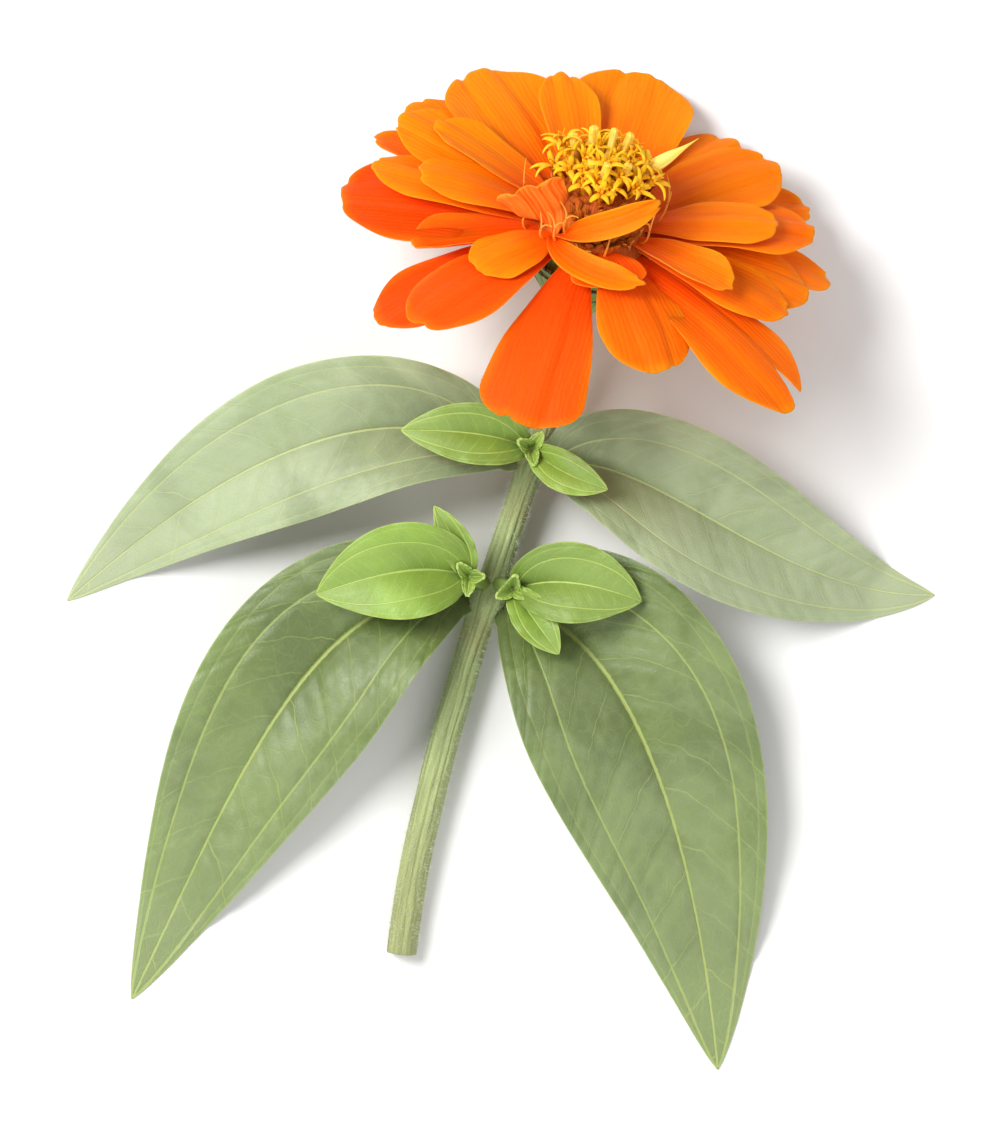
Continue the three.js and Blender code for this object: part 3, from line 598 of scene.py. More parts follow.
def bent_blade(root, ahead, side, length, wide, curl, cup, outline, thickness, along, across,
               number=0.0, tint_and_lighting=0.5, fringe=0.0):
    """A small blade that leaves its root along ahead and curls over backwards by curl degrees."""
    back = np.cross(side, ahead)
    bend = math.radians(curl) or 1e-4

    def half(s):
        return wide * outline(np.clip(s, 0, 1))

    def sheet(s, q):
        teeth = fringe * (0.5 + 0.5 * np.cos(13 * q + number)) * smooth((s - 0.6) / 0.4)
        way = s * (1 - teeth)
        turn = bend * way
        forth, down = length * np.sin(turn) / bend, length * (1 - np.cos(turn)) / bend
        rise = cup * half(s) * q * q
        out = root + ahead * forth[..., None] + back * down[..., None]
        out = out + side * (q * half(s))[..., None]
        return out + (ahead * (rise * np.sin(turn))[..., None] - back * (rise * np.cos(turn))[..., None])

    return blade(sheet, half, length, thickness, along, across, number=number, tint_and_lighting=tint_and_lighting)


def each_ray():
    """Row, number, root and form of every ray. The numbers run from 1 through all the rows."""
    number = 0
    for row, (root, items) in enumerate(RAY_ROWS):
        for item in items:
            number += 1
            yield row, number, root, item


def ray_marks(rows, least_rise):
    """Points spread over the rays of some rows that rise at least so far, in the bloom's own frame."""
    marks = []
    s, q = np.meshgrid(np.linspace(0, 0.95, 44), np.linspace(-0.98, 0.98, 26), indexing="ij")
    for row, number, root, item in each_ray():
        if row in rows and item.rise >= least_rise:
            sheet, _, _ = ray_sheet(item, root, number, *MARK_SHEET)
            marks.append(to_bloom(sheet(s, q)).reshape(-1, 3))
    return np.concatenate(marks)


def touches(part, marks):
    """Whether a small part comes nearer to the marks than the least gap."""
    points = part["points"][::3]
    near = marks[np.linalg.norm(marks - points.mean(axis=0), axis=1) < NEARBY]
    return len(near) > 0 and np.linalg.norm(points[:, None] - near, axis=-1).min() < CLEARANCE


def leaning(angle, reach, height, slant):
    """A root on the cone, the way that leans out from the axis by slant, and the way across."""
    out = np.array([math.cos(angle), math.sin(angle), 0.0])
    ahead = out * math.sin(slant) + UP * math.cos(slant)
    return out * reach + UP * height, ahead, np.array([-out[1], out[0], 0.0])


STEM_TOP = BLOOM_CENTRE + BLOOM_AXIS * (CUP_FOOT - GAP)
STEM_LINE = (CUT_END, CUT_END + [4.5, 40.0, 2.2], STEM_TOP - BLOOM_AXIS * NECK, STEM_TOP)


def stem_radius(t):
    neck = 0.75 * smooth((t - 0.9) / 0.1)
    slimming = 0.5 * smooth((t - 0.3) / 0.5)
    joints = 0.75 * (hump(t, NODE_UPPER, 0.022) + hump(t, NODE_LOWER, 0.022))
    return STEM_RADIUS - slimming + neck + joints


def stem_place(t, heading, out):
    """A place near the stem's skin, and the way straight out from it there."""
    centre, ahead = bezier(STEM_LINE, t)
    right = unit(np.cross(ahead, UP))
    over = np.cross(right, ahead)
    turn = np.radians(heading)
    away = right * np.cos(turn)[..., None] + over * np.sin(turn)[..., None]
    return centre + away * (stem_radius(np.asarray(t, float)) + out)[..., None], away


# ------------------------------------------------------------------ shader nodes
NOWHERE = (0, 0, 0)  # the value of a vector input that nothing feeds


class Tree:
    """Adds nodes to one node tree and links what they are given."""

    def __init__(self, tree):
        self.tree = tree

    def plug(self, socket, value):
        if isinstance(value, bpy.types.NodeSocket):
            self.tree.links.new(value, socket)
        else:
            socket.default_value = value

    def add(self, kind, inputs=None, **settings):
        made = self.tree.nodes.new(kind)
        for key, value in settings.items():
            setattr(made, key, value)
        for key, value in (inputs or {}).items():
            self.plug(made.inputs[key], value)
        return made

    def vector(self, name):
        return self.add("ShaderNodeAttribute", attribute_name=name).outputs["Vector"]

    def split(self, vector):
        return self.add("ShaderNodeSeparateXYZ", {0: vector}).outputs

    def math(self, operation, *values):
        return self.add("ShaderNodeMath", dict(enumerate(values)), operation=operation).outputs[0]

    def times(self, a, b):
        return self.math("MULTIPLY", a, b)

    def times_plus(self, a, b, c):
        return self.math("MULTIPLY_ADD", a, b, c)

    def most(self, a, b):
        return self.math("MAXIMUM", a, b)

    def range(self, value, low, high, to_low=0.0, to_high=1.0):
        inputs = {"Value": value, "From Min": low, "From Max": high, "To Min": to_low, "To Max": to_high}
        return self.add("ShaderNodeMapRange", inputs, interpolation_type="SMOOTHSTEP").outputs[0]

    def fade(self, value, low, high):
        """1 up to low, falling to 0 at high."""
        return self.range(value, low, high, 1.0, 0.0)

    def noise(self, vector, scale, detail=3.0, roughness=0.5, distortion=0.0):
        inputs = {"Vector": vector, "Scale": scale, "Detail": detail, "Roughness": roughness,
                  "Distortion": distortion}
        return self.add("ShaderNodeTexNoise", inputs).outputs[0]

    def cells(self, vector, scale):
        inputs = {"Vector": vector, "Scale": scale}
        return self.add("ShaderNodeTexVoronoi", inputs, feature="DISTANCE_TO_EDGE").outputs["Distance"]

    def mix(self, share, a, b):
        made = self.add("ShaderNodeMix", data_type="RGBA")
        for index, value in ((0, share), (6, a), (7, b)):
            self.plug(made.inputs[index], value)
        return made.outputs[2]

    def tinge(self, colour, other, share, strength):
        """The colour, taken towards the other one by share times strength."""
        return self.mix(self.times(share, strength), colour, other)

    def scaled(self, vector, x, y, z):
        return self.add("ShaderNodeVectorMath", {0: vector, 1: (x, y, z)}, operation="MULTIPLY").outputs[0]

    def use(self, group, **inputs):
        made = self.add("ShaderNodeGroup", node_tree=group)
        for key, value in inputs.items():
            self.plug(made.inputs[key.replace("_", " ")], value)
        return made.outputs

    def skin(self):
        """The flat vector, share of the length, upper face, way to the rim or radius, and tint (painted
        light on rays, painted shade on leaves).
        """
        along, _, upper = self.split(self.vector("share"))
        rim, _, tint_and_lighting = self.split(self.vector("edge"))
        return self.vector("flat"), along, upper, rim, tint_and_lighting


def effect(name, inputs, outputs, build):
    """A node group with named inputs and outputs, built once."""
    if name in bpy.data.node_groups:
        return bpy.data.node_groups[name]
    group = bpy.data.node_groups.new(name, "ShaderNodeTree")
    for label, value in inputs.items():
        kind = "NodeSocketVector" if isinstance(value, tuple) else "NodeSocketFloat"
        group.interface.new_socket(label, in_out="INPUT", socket_type=kind).default_value = value
    for label in outputs:
        group.interface.new_socket(label, in_out="OUTPUT", socket_type="NodeSocketFloat")
    tree = Tree(group)
    given = tree.add("NodeGroupInput").outputs
    taken = tree.add("NodeGroupOutput").inputs
    for label, value in build(tree, given).items():
        tree.plug(taken[label], value)
    return group


def grain_effect():
    """Soft mottling and fine grain of living tissue."""
    def build(tree, given):
        broad = tree.noise(given["Flat"], given["Broad"], 3.0, 0.55)
        fine = tree.noise(given["Flat"], given["Fine"], 4.0, 0.65)
        return {"Mottle": tree.range(broad, 0.3, 0.7), "Grain": tree.range(fine, 0.28, 0.72)}
    return effect("tissue grain", {"Flat": NOWHERE, "Broad": 0.12, "Fine": 3.0}, ("Mottle", "Grain"), build)


def streak_effect():
    """Long streaks and fine parallel ribs that run along a ray, a floret or a bract."""
    def build(tree, given):
        across = tree.split(given["Flat"])[0]
        drawn = tree.scaled(given["Flat"], 1.0, 0.06, 1.0)
        streak = tree.noise(drawn, given["Streak Scale"], 3.0, 0.6)
        bend = tree.noise(tree.scaled(given["Flat"], 0.5, 0.12, 1.0), 0.8, 2.0, 0.5)
        phase = tree.math("DIVIDE", tree.times_plus(bend, 1.6, across), given["Rib Spacing"])
        rib = tree.fade(tree.math("PINGPONG", phase, 0.5), 0.0, 0.4)
        return {"Streak": tree.range(streak, 0.32, 0.68), "Rib": rib,
                "Height": tree.times_plus(rib, -0.7, tree.times(streak, 0.6))}
    return effect("ray streaks", {"Flat": NOWHERE, "Streak Scale": 1.2, "Rib Spacing": 0.9},
                  ("Streak", "Rib", "Height"), build)


def vein_effect():
    """Midrib, side veins, small veins and the net between them on a leaf."""
    def build(tree, given):
        flat, net_scale = given["Flat"], given["Net Scale"]
        across, inner, phase = tree.split(given["Veins"])
        outer = tree.split(given["Edge"])[1]
        along = tree.split(given["Share"])[0]
        ragged = tree.range(tree.noise(flat, 0.9, 3.0, 0.6), 0.2, 0.8, 0.75, 1.25)
        wide = tree.times(given["Vein Width"], ragged)

        def line(distance, width):
            return tree.fade(tree.math("DIVIDE", tree.math("ABSOLUTE", distance), width), 0.45, 1.15)

        midrib = line(across, tree.times(wide, tree.range(along, 0.0, 1.0, 1.3, 0.4)))
        side = tree.times(line(inner, tree.times(wide, 0.5)), 0.75)
        rim_vein = tree.times(line(outer, tree.times(wide, 0.36)), 0.26)
        wandering = tree.times_plus(tree.noise(flat, 0.22, 2.0, 0.5), 0.3, phase)
        small = tree.times(tree.math("PINGPONG", wandering, 0.5), given["Small Spacing"])
        faint = tree.range(tree.noise(flat, 0.12, 2.0), 0.3, 0.7, 0.12, 0.5)
        small = tree.times(line(small, tree.times(wide, 0.33)), faint)
        stir = tree.add("ShaderNodeTexNoise", {"Vector": flat, "Scale": 0.35}).outputs["Color"]
        stirred = tree.add("ShaderNodeVectorMath", {0: stir, 1: (2.2, 2.2, 0.0), 2: flat},
                           operation="MULTIPLY_ADD").outputs[0]
        coarse = tree.fade(tree.cells(stirred, net_scale), 0.0, 0.055)
        fine = tree.fade(tree.cells(stirred, tree.times(net_scale, 2.9)), 0.0, 0.09)
        net = tree.most(coarse, tree.times(fine, 0.55))
        main = tree.most(tree.most(midrib, side), tree.most(rim_vein, small))
        return {"Main": main, "Net": net, "Height": tree.times(tree.most(main, tree.times(net, 0.2)), -1.0)}
    inputs = {"Flat": NOWHERE, "Share": NOWHERE, "Edge": NOWHERE, "Veins": NOWHERE, "Vein Width": 0.7,
              "Small Spacing": 8.0, "Net Scale": 0.35}
    return effect("leaf veins", inputs, ("Main", "Net", "Height"), build)


def grained(tree, flat, broad, fine):
    return tree.use(grain_effect(), Flat=flat, Broad=broad, Fine=fine)


def streaked(tree, flat, scale, spacing):
    return tree.use(streak_effect(), Flat=flat, Streak_Scale=scale, Rib_Spacing=spacing)


def finish(name, build, **constants):
    """A material: build gives what feeds the shader's varying inputs, constants set the others."""
    made = bpy.data.materials.get(name) or bpy.data.materials.new(name)
    made.use_nodes = True
    made.node_tree.nodes.clear()
    tree = Tree(made.node_tree)
    shader = tree.add("ShaderNodeBsdfPrincipled")
    output = tree.add("ShaderNodeOutputMaterial")
    tree.plug(output.inputs["Surface"], shader.outputs[0])
    for key, value in constants.items():
        shader.inputs[key.replace("_", " ")].default_value = value
    for key, value in build(tree).items():
        if key == "Height":
            height, distance = value
            bump = tree.add("ShaderNodeBump", {"Strength": 1.0, "Distance": distance, "Height": height})
            value, key = bump.outputs[0], "Normal"
        tree.plug(shader.inputs[key], value)
    return made


def rgba(colour, strength=1.0):
    """A colour, made darker or brighter by its strength, with the alpha that sockets ask for."""
    return (*(min(1.0, c * strength) for c in colour), 1.0)


def ray_finish(colours):
    """Velvety orange of the rays: deeper at the claw, brighter to the tip, paler at the rim and below, with
    painted shade on shaded rays and in their folds and painted light on lit rays and their rims.
    """
    def build(tree):
        flat, s, side, rim, tint_and_lighting = tree.skin()
        base, tip, pale = rgba(colours.ray_base), rgba(colours.ray_tip), rgba(colours.ray_rim)
        streaks = streaked(tree, flat, 0.9, 0.85)
        folds = streaked(tree, flat, 0.3, 3.4)
        grain = grained(tree, flat, 0.16, 5.5)
        along = tree.range(tree.times_plus(grain["Mottle"], 0.16, s), 0.15, 0.9)
        # The deep colour is the rays' painted shade, running from the foot colour out along the ray.
        deep = tree.mix(along, base, rgba(colours.ray_shaded))
        # Painted light and shade: each ray's tint, from the table of painted light, takes it from the deep
        # colour of a ray in shade to the sunlit face and tip.
        plain = tree.mix(tint_and_lighting, deep, tree.mix(along, rgba(colours.ray_face), tip))
        colour = tree.tinge(plain, base, tree.fade(s, 0.1, 0.58), 0.72)
        # Painted shade in the hollows of the broad folds, laid along wide streaks and fading towards the
        # tip.
        hollow = tree.times(folds["Streak"], tree.range(s, 0.35, 1.0, 0.42, 0.06))
        colour = tree.mix(hollow, colour, deep)
        # A paler yellow-orange band along the rim: partly the rays' own paler margin, partly painted light,
        # strongest on the rays with the most painted light.
        near_rim = tree.times(tree.fade(rim, 0.0, 2.2), tree.range(s, 0.25, 0.8, 0.0, 0.62))
        near_rim = tree.times(near_rim, tree.range(tint_and_lighting, 0.0, 0.5, 0.4, 1.0))
        colour = tree.mix(near_rim, colour, tip)
        colour = tree.tinge(colour, deep, streaks["Streak"], 0.1)
        colour = tree.tinge(colour, base, streaks["Rib"], 0.05)
        colour = tree.tinge(colour, tip, grain["Grain"], 0.1)
        under = tree.mix(streaks["Streak"], rgba(colours.ray_under), plain)
        under = tree.tinge(under, pale, streaks["Rib"], 0.35)
        colour = tree.tinge(tree.mix(side, under, colour), pale, tree.fade(rim, 0.02, 0.3), 0.2)
        height = tree.times_plus(grain["Grain"], 0.25, streaks["Height"])
        return {"Base Color": colour, "Roughness": tree.times_plus(grain["Grain"], 0.14, 0.5),
                "Height": (height, 0.00006)}
    return finish("velvet ray", build, Specular_IOR_Level=0.08, Subsurface_Weight=0.35,
                  Subsurface_Scale=0.0022, Subsurface_Radius=(1.0, 0.32, 0.06))


# Kinds of leaf: face, veins, and waxy film with painted sheen, then share of that film and sheen, base
# roughness, millimetres of vein width and of spacing of the small veins, and scale of the net.
LEAF_KINDS = {
    "green leaf": (("leaf_green", "vein_green", "leaf_film_and_sheen"), 0.42, 0.36, 0.62, 9.0, 0.30),
    "sage leaf": (("leaf_sage", "vein_sage", "sage_film_and_sheen"), 0.66, 0.44, 0.5, 7.5, 0.36),
    "lime shoot leaf": (("shoot_lime", "vein_lime", "lime_film_and_sheen"), 0.30, 0.38, 0.34, 3.6, 0.62),
}


def leaf_finish(kind, colours):
    """Green of a leaf, with paler veins, a fine net, a waxy film with painted sheen in places, painted shade
    towards the base and on leaves in shade, and a thin pale rim.
    """
    names, film_and_sheen_share, gloss, width, spacing, net = LEAF_KINDS[kind]
    face, vein, film_and_sheen = (getattr(colours, name) for name in names)
    under = colours.leaf_under

    def build(tree):
        flat, s, side, rim, tint_and_lighting = tree.skin()
        lines = tree.use(vein_effect(), Flat=flat, Share=tree.vector("share"), Edge=tree.vector("edge"),
                         Veins=tree.vector("veins"), Vein_Width=width, Small_Spacing=spacing, Net_Scale=net)
        grain = grained(tree, flat, 0.07, 4.0)
        colour = tree.mix(grain["Mottle"], rgba(face, 0.7), rgba(face, 1.15))
        shaded = tree.most(tree.times(tree.fade(s, 0.0, 0.42), 0.55), tree.times(tint_and_lighting, 0.8))
        colour = tree.mix(shaded, colour, rgba(face, 0.5))
        colour = tree.tinge(colour, rgba(face, 0.6), grain["Grain"], 0.22)
        # Waxy film and painted sheen: paler grey-green patches that grow towards the tip.
        patches = tree.range(tree.noise(flat, 0.055, 4.0, 0.6, 0.6), 0.36, 0.64)
        outward = tree.range(tree.times_plus(patches, 0.5, s), 0.25, 1.1, 0.25, 1.0)
        colour = tree.tinge(colour, rgba(film_and_sheen), outward, film_and_sheen_share)
        colour = tree.tinge(colour, rgba(vein, 0.9), lines["Net"], 0.09)
        colour = tree.tinge(colour, rgba(vein), lines["Main"], 0.68)
        below = tree.mix(grain["Mottle"], rgba(under, 0.85), rgba(under, 1.1))
        below = tree.tinge(below, rgba(under, 0.65), lines["Net"], 0.35)
        below = tree.tinge(below, rgba(vein), lines["Main"], 0.7)
        colour = tree.tinge(tree.mix(side, below, colour), rgba(vein), tree.fade(rim, 0.05, 0.26), 0.4)
        rough = tree.times_plus(lines["Net"], 0.08, tree.times_plus(grain["Grain"], 0.16, gloss))
        height = tree.times_plus(grain["Grain"], 0.2, lines["Height"])
        return {"Base Color": colour, "Roughness": rough, "Height": (height, 0.00009)}
    return finish(kind, build, Specular_IOR_Level=0.6, Subsurface_Weight=0.12, Subsurface_Scale=0.0015,
                  Subsurface_Radius=(0.5, 1.0, 0.15), Sheen_Weight=0.06, Sheen_Roughness=0.5)


def stem_finish(colours):
    """Pale ribbed green of the stem, flushed at the leaf joints, with a pithy cut end."""
    def build(tree):
        flat, s, _, radius, _ = tree.skin()
        streaks = streaked(tree, flat, 1.6, 1.1)
        grain = grained(tree, flat, 0.12, 3.5)
        colour = tree.mix(streaks["Streak"], rgba(colours.stem, 0.8), rgba(colours.stem, 1.25))
        colour = tree.tinge(colour, rgba(colours.stem_rib), streaks["Rib"], 0.4)
        joints = [tree.fade(tree.math("ABSOLUTE", tree.math("SUBTRACT", s, at)), 0.0, 0.05)
                  for at in (NODE_UPPER, NODE_LOWER)]
        flush = tree.times(tree.most(*joints), grain["Mottle"])
        colour = tree.tinge(colour, rgba(colours.stem_flush), flush, 0.5)
        colour = tree.tinge(colour, rgba(colours.stem_flush, 0.8), tree.fade(s, 0.0, 0.5), 0.35)
        pith = tree.mix(grain["Grain"], rgba(colours.pith), rgba(colours.pith, 0.8))
        colour = tree.mix(tree.fade(radius, 1.2, 2.1), colour, pith)
        height = tree.times_plus(grain["Grain"], 0.3, streaks["Height"])
        return {"Base Color": colour, "Roughness": tree.times_plus(grain["Grain"], 0.2, 0.45),
                "Height": (height, 0.0002)}
    return finish("ribbed stem", build, Specular_IOR_Level=0.4, Subsurface_Weight=0.1,
                  Subsurface_Scale=0.002, Subsurface_Radius=(0.6, 1.0, 0.3))


def bract_finish(colours):
    """Green of the cup's bracts, ribbed along, with a blackish band and a pale torn rim."""
    def build(tree):
        flat, s, _, rim, _ = tree.skin()
        pale = rgba(colours.vein_lime)
        streaks = streaked(tree, flat, 1.4, 0.7)
        grain = grained(tree, flat, 0.25, 5.0)
        colour = tree.mix(streaks["Streak"], rgba(colours.bract, 0.7), rgba(colours.bract, 1.25))
        colour = tree.tinge(colour, pale, streaks["Rib"], 0.3)
        colour = tree.tinge(colour, pale, tree.fade(s, 0.15, 0.7), 0.4)
        ragged = tree.times_plus(grain["Grain"], 0.35, rim)
        band = tree.times(tree.fade(ragged, 0.62, 0.9), tree.range(s, 0.3, 0.55))
        colour = tree.mix(band, colour, rgba(colours.bract_edge))
        colour = tree.mix(tree.range(ragged, 0.2, 0.34, 0.7, 0.0), colour, rgba(colours.bract_fringe))
        return {"Base Color": colour, "Roughness": tree.times_plus(grain["Grain"], 0.2, 0.42),
                "Height": (streaks["Height"], 0.00014)}
    return finish("edged bract", build, Specular_IOR_Level=0.45)


def chaff_finish(colours):
    """Dry red-brown scales, tan at the foot and orange at the torn tip."""
    def build(tree):
        flat, s, _, rim, tint_and_lighting = tree.skin()
        foot = rgba(colours.chaff_foot)
        streaks = streaked(tree, flat, 2.6, 0.35)
        grain = grained(tree, flat, 0.5, 6.0)
        colour = tree.mix(tree.range(s, 0.1, 0.7), foot, rgba(colours.chaff))
        ragged = tree.range(tree.times_plus(grain["Grain"], 0.3, s), 0.8, 1.15)
        colour = tree.tinge(colour, rgba(colours.chaff_tip), ragged, tint_and_lighting)
        colour = tree.tinge(colour, rgba(colours.chaff, 0.35), streaks["Streak"], 0.4)
        colour = tree.tinge(colour, foot, tint_and_lighting, 0.4)
        colour = tree.tinge(colour, foot, tree.fade(rim, 0.0, 0.2), 0.4)
        return {"Base Color": colour, "Roughness": tree.times_plus(grain["Grain"], 0.25, 0.5),
                "Height": (streaks["Height"], 0.0001)}
    return finish("dry chaff", build, Specular_IOR_Level=0.15)


# Kinds of floret: colours of foot, face, tip and specks, then the scale of the streaks.
FLORET_KINDS = {
    "open floret": (("floret_foot", "floret", "floret_tip", "floret_tip"), 2.2),
    "anther": (("chaff_foot", "floret_foot", "floret", "floret_tip"), 3.0),
    "rolled floret": (("floret", "quill", "quill_tip", "quill"), 1.6),
    "style thread": (("floret_foot", "style", "ray_rim", "ray_tip"), 2.0),
}


def floret_finish(kind, colours):
    """Downy yellow of the disc florets, turning from the foot to the tip."""
    names, streak_scale = FLORET_KINDS[kind]
    foot, face, tip, specks = (rgba(getattr(colours, name)) for name in names)

    def build(tree):
        flat, s, _, _, tint_and_lighting = tree.skin()
        streaks = streaked(tree, flat, streak_scale, 0.42)
        grain = grained(tree, flat, 0.6, 7.0)
        colour = tree.mix(tree.range(s, 0.0, 0.55), foot, face)
        colour = tree.tinge(colour, tip, tree.range(s, 0.5, 1.0), 0.7)
        colour = tree.tinge(colour, foot, streaks["Streak"], 0.3)
        colour = tree.tinge(colour, specks, grain["Grain"], 0.25)
        colour = tree.tinge(colour, tip, tint_and_lighting, 0.35)
        height = tree.times_plus(grain["Grain"], 0.5, streaks["Height"])
        return {"Base Color": colour, "Roughness": tree.times_plus(grain["Grain"], 0.2, 0.48),
                "Height": (height, 0.00008)}
    return finish(kind, build, Specular_IOR_Level=0.2, Subsurface_Weight=0.3, Subsurface_Scale=0.0012,
                  Subsurface_Radius=(1.0, 0.7, 0.1))


def hair_finish(colours):
    """White down of the stem, greenish at the foot of each hair."""
    def build(tree):
        flat, s, _, _, _ = tree.skin()
        green = rgba(colours.stem_rib)
        patches = tree.noise(flat, 3.0, 2.0)
        colour = tree.mix(tree.range(s, 0.0, 0.5), green, rgba(colours.hair))
        return {"Base Color": tree.tinge(colour, green, patches, 0.3),
                "Roughness": tree.range(patches, 0.3, 0.7, 0.35, 0.6)}
    return finish("white down", build, Specular_IOR_Level=0.5)


# ------------------------------------------------------------------ settings a user may change
def colour_setting(name, description, default):
    return bpy.props.FloatVectorProperty(
        name=name, description=description, default=default, size=3, subtype="COLOR", min=0.0, max=1.0)


def length_setting(name, description, default, low, high):
    return bpy.props.FloatProperty(
        name=name, description=description, default=default, min=low, max=high, unit="LENGTH",
        subtype="DISTANCE", precision=5)


class ZinniaSizes(bpy.types.PropertyGroup):
    """Sizes of the fine pieces."""
    ray_thickness: length_setting("Ray thickness", "Thickness of a ray", 0.00036, 0.0002, 0.0006)
    ray_rib_depth: length_setting("Ray rib depth", "Height of the ribs along a ray", 0.000025, 0.0, 0.0002)
    leaf_thickness: length_setting("Leaf thickness", "Thickness of a leaf", 0.0004, 0.0002, 0.0008)
    vein_depth: length_setting("Vein depth", "How deep the veins of a leaf are sunk", 0.00028, 0.0, 0.0006)
    chaff_length: length_setting("Chaff length", "Length of the longest dry scales", 0.0034, 0.001, 0.005)
    lobe_length: length_setting("Lobe length", "Length of the lobes of an open floret", 0.0042, 0.001, 0.006)
    style_length: length_setting("Style length", "Length of the forked threads", 0.0086, 0.002, 0.012)
    hair_length: length_setting("Hair length", "Length of the hairs on the stem", 0.0011, 0.0003, 0.002)
    hair_count: bpy.props.IntProperty(
        name="Hairs", description="How many hairs the stem carries", default=7000, min=0, max=20000)
    camera_height: length_setting("Camera distance", "Distance from the flower to the camera", 2.2, 0.5, 5.0)


class ZinniaColours(bpy.types.PropertyGroup):
    """Colours of the flower and its leaves."""
    ray_face: colour_setting("Ray face", "Upper face of the rays", (0.95, 0.165, 0.001))
    # Painted shade: the colour of the rays that lie in shade, and of the shade in their folds.
    ray_shaded: colour_setting("Ray shaded face", "Upper face of the rays in painted shade", (0.80, 0.052, 0.001))
    ray_base: colour_setting("Ray foot", "Foot and ribs of the rays", (0.78, 0.045, 0.001))
    ray_tip: colour_setting("Ray tip", "Sunlit outer part of the rays", (0.97, 0.26, 0.001))
    ray_rim: colour_setting("Ray rim", "Thin rim of the rays", (0.98, 0.42, 0.04))
    ray_under: colour_setting("Ray underside", "Underside of the rays", (0.93, 0.24, 0.03))
    floret: colour_setting("Open floret", "Lobes of the open disc florets", (0.99, 0.50, 0.004))
    floret_foot: colour_setting("Floret foot", "Tubes of the disc florets", (0.95, 0.31, 0.004))
    floret_tip: colour_setting("Floret tip", "Tips of the lobes", (1.0, 0.61, 0.02))
    quill: colour_setting("Rolled floret", "Young florets that are still rolled up", (0.99, 0.80, 0.20))
    quill_tip: colour_setting("Rolled floret tip", "Closed tips of the young florets", (0.99, 0.58, 0.05))
    style: colour_setting("Styles", "Forked threads at the rays' feet", (0.98, 0.36, 0.09))
    chaff: colour_setting("Chaff", "Dry scales of the cone", (0.50, 0.088, 0.009))
    chaff_foot: colour_setting("Chaff foot", "Foot of the dry scales", (0.66, 0.20, 0.016))
    chaff_tip: colour_setting("Chaff tip", "Torn tips of the dry scales", (0.82, 0.24, 0.02))
    bract: colour_setting("Bract", "Scales of the green cup", (0.17, 0.30, 0.06))
    bract_edge: colour_setting("Bract band", "Dark band near a bract's rim", (0.012, 0.008, 0.006))
    bract_fringe: colour_setting("Bract rim", "Torn rim of a bract", (0.45, 0.42, 0.22))
    stem: colour_setting("Stem", "Skin of the stem", (0.35, 0.43, 0.17))
    stem_rib: colour_setting("Stem ribs", "Pale ribs of the stem", (0.50, 0.58, 0.30))
    stem_flush: colour_setting("Stem flush", "Reddish flush at the leaf joints", (0.26, 0.17, 0.07))
    pith: colour_setting("Pith", "Pale middle of the cut end", (0.62, 0.68, 0.40))
    hair: colour_setting("Hairs", "Down of the stem", (0.85, 0.88, 0.76))
    leaf_sage: colour_setting("Upper leaves", "Grey-green of the upper leaves", (0.20, 0.255, 0.11))
    vein_sage: colour_setting("Upper leaf veins", "Veins of the upper leaves", (0.44, 0.50, 0.20))
    # Waxy film and painted sheen of the upper leaves.
    sage_film_and_sheen: colour_setting("Upper leaf film", "Waxy film of the upper leaves", (0.40, 0.46, 0.28))
    leaf_green: colour_setting("Lower leaves", "Green of the lower leaves", (0.095, 0.145, 0.018))
    vein_green: colour_setting("Lower leaf veins", "Veins of the lower leaves", (0.38, 0.46, 0.12))
    # Waxy film and painted sheen of the lower leaves.
    leaf_film_and_sheen: colour_setting("Lower leaf film", "Waxy film of the lower leaves", (0.33, 0.40, 0.19))
    shoot_lime: colour_setting("Young leaves", "Bright green of the young leaves", (0.21, 0.35, 0.03))
    vein_lime: colour_setting("Young leaf veins", "Veins of the young leaves", (0.45, 0.58, 0.12))
    # Waxy film and painted sheen of the young leaves: their paler places.
    lime_film_and_sheen: colour_setting("Young leaf film", "Paler places of the young leaves", (0.36, 0.50, 0.13))
    leaf_under: colour_setting("Leaf underside", "Underside of every leaf", (0.26, 0.34, 0.17))
    floor: colour_setting("Floor", "Surface that the flower lies on", (0.80, 0.795, 0.785))


# ------------------------------------------------------------------ operators
class Builder:
    """Reads the settings for an operator."""
    bl_options = {"REGISTER", "UNDO"}

    @staticmethod
    def settings(context):
        return context.scene.zinnia_sizes, context.scene.zinnia_colours


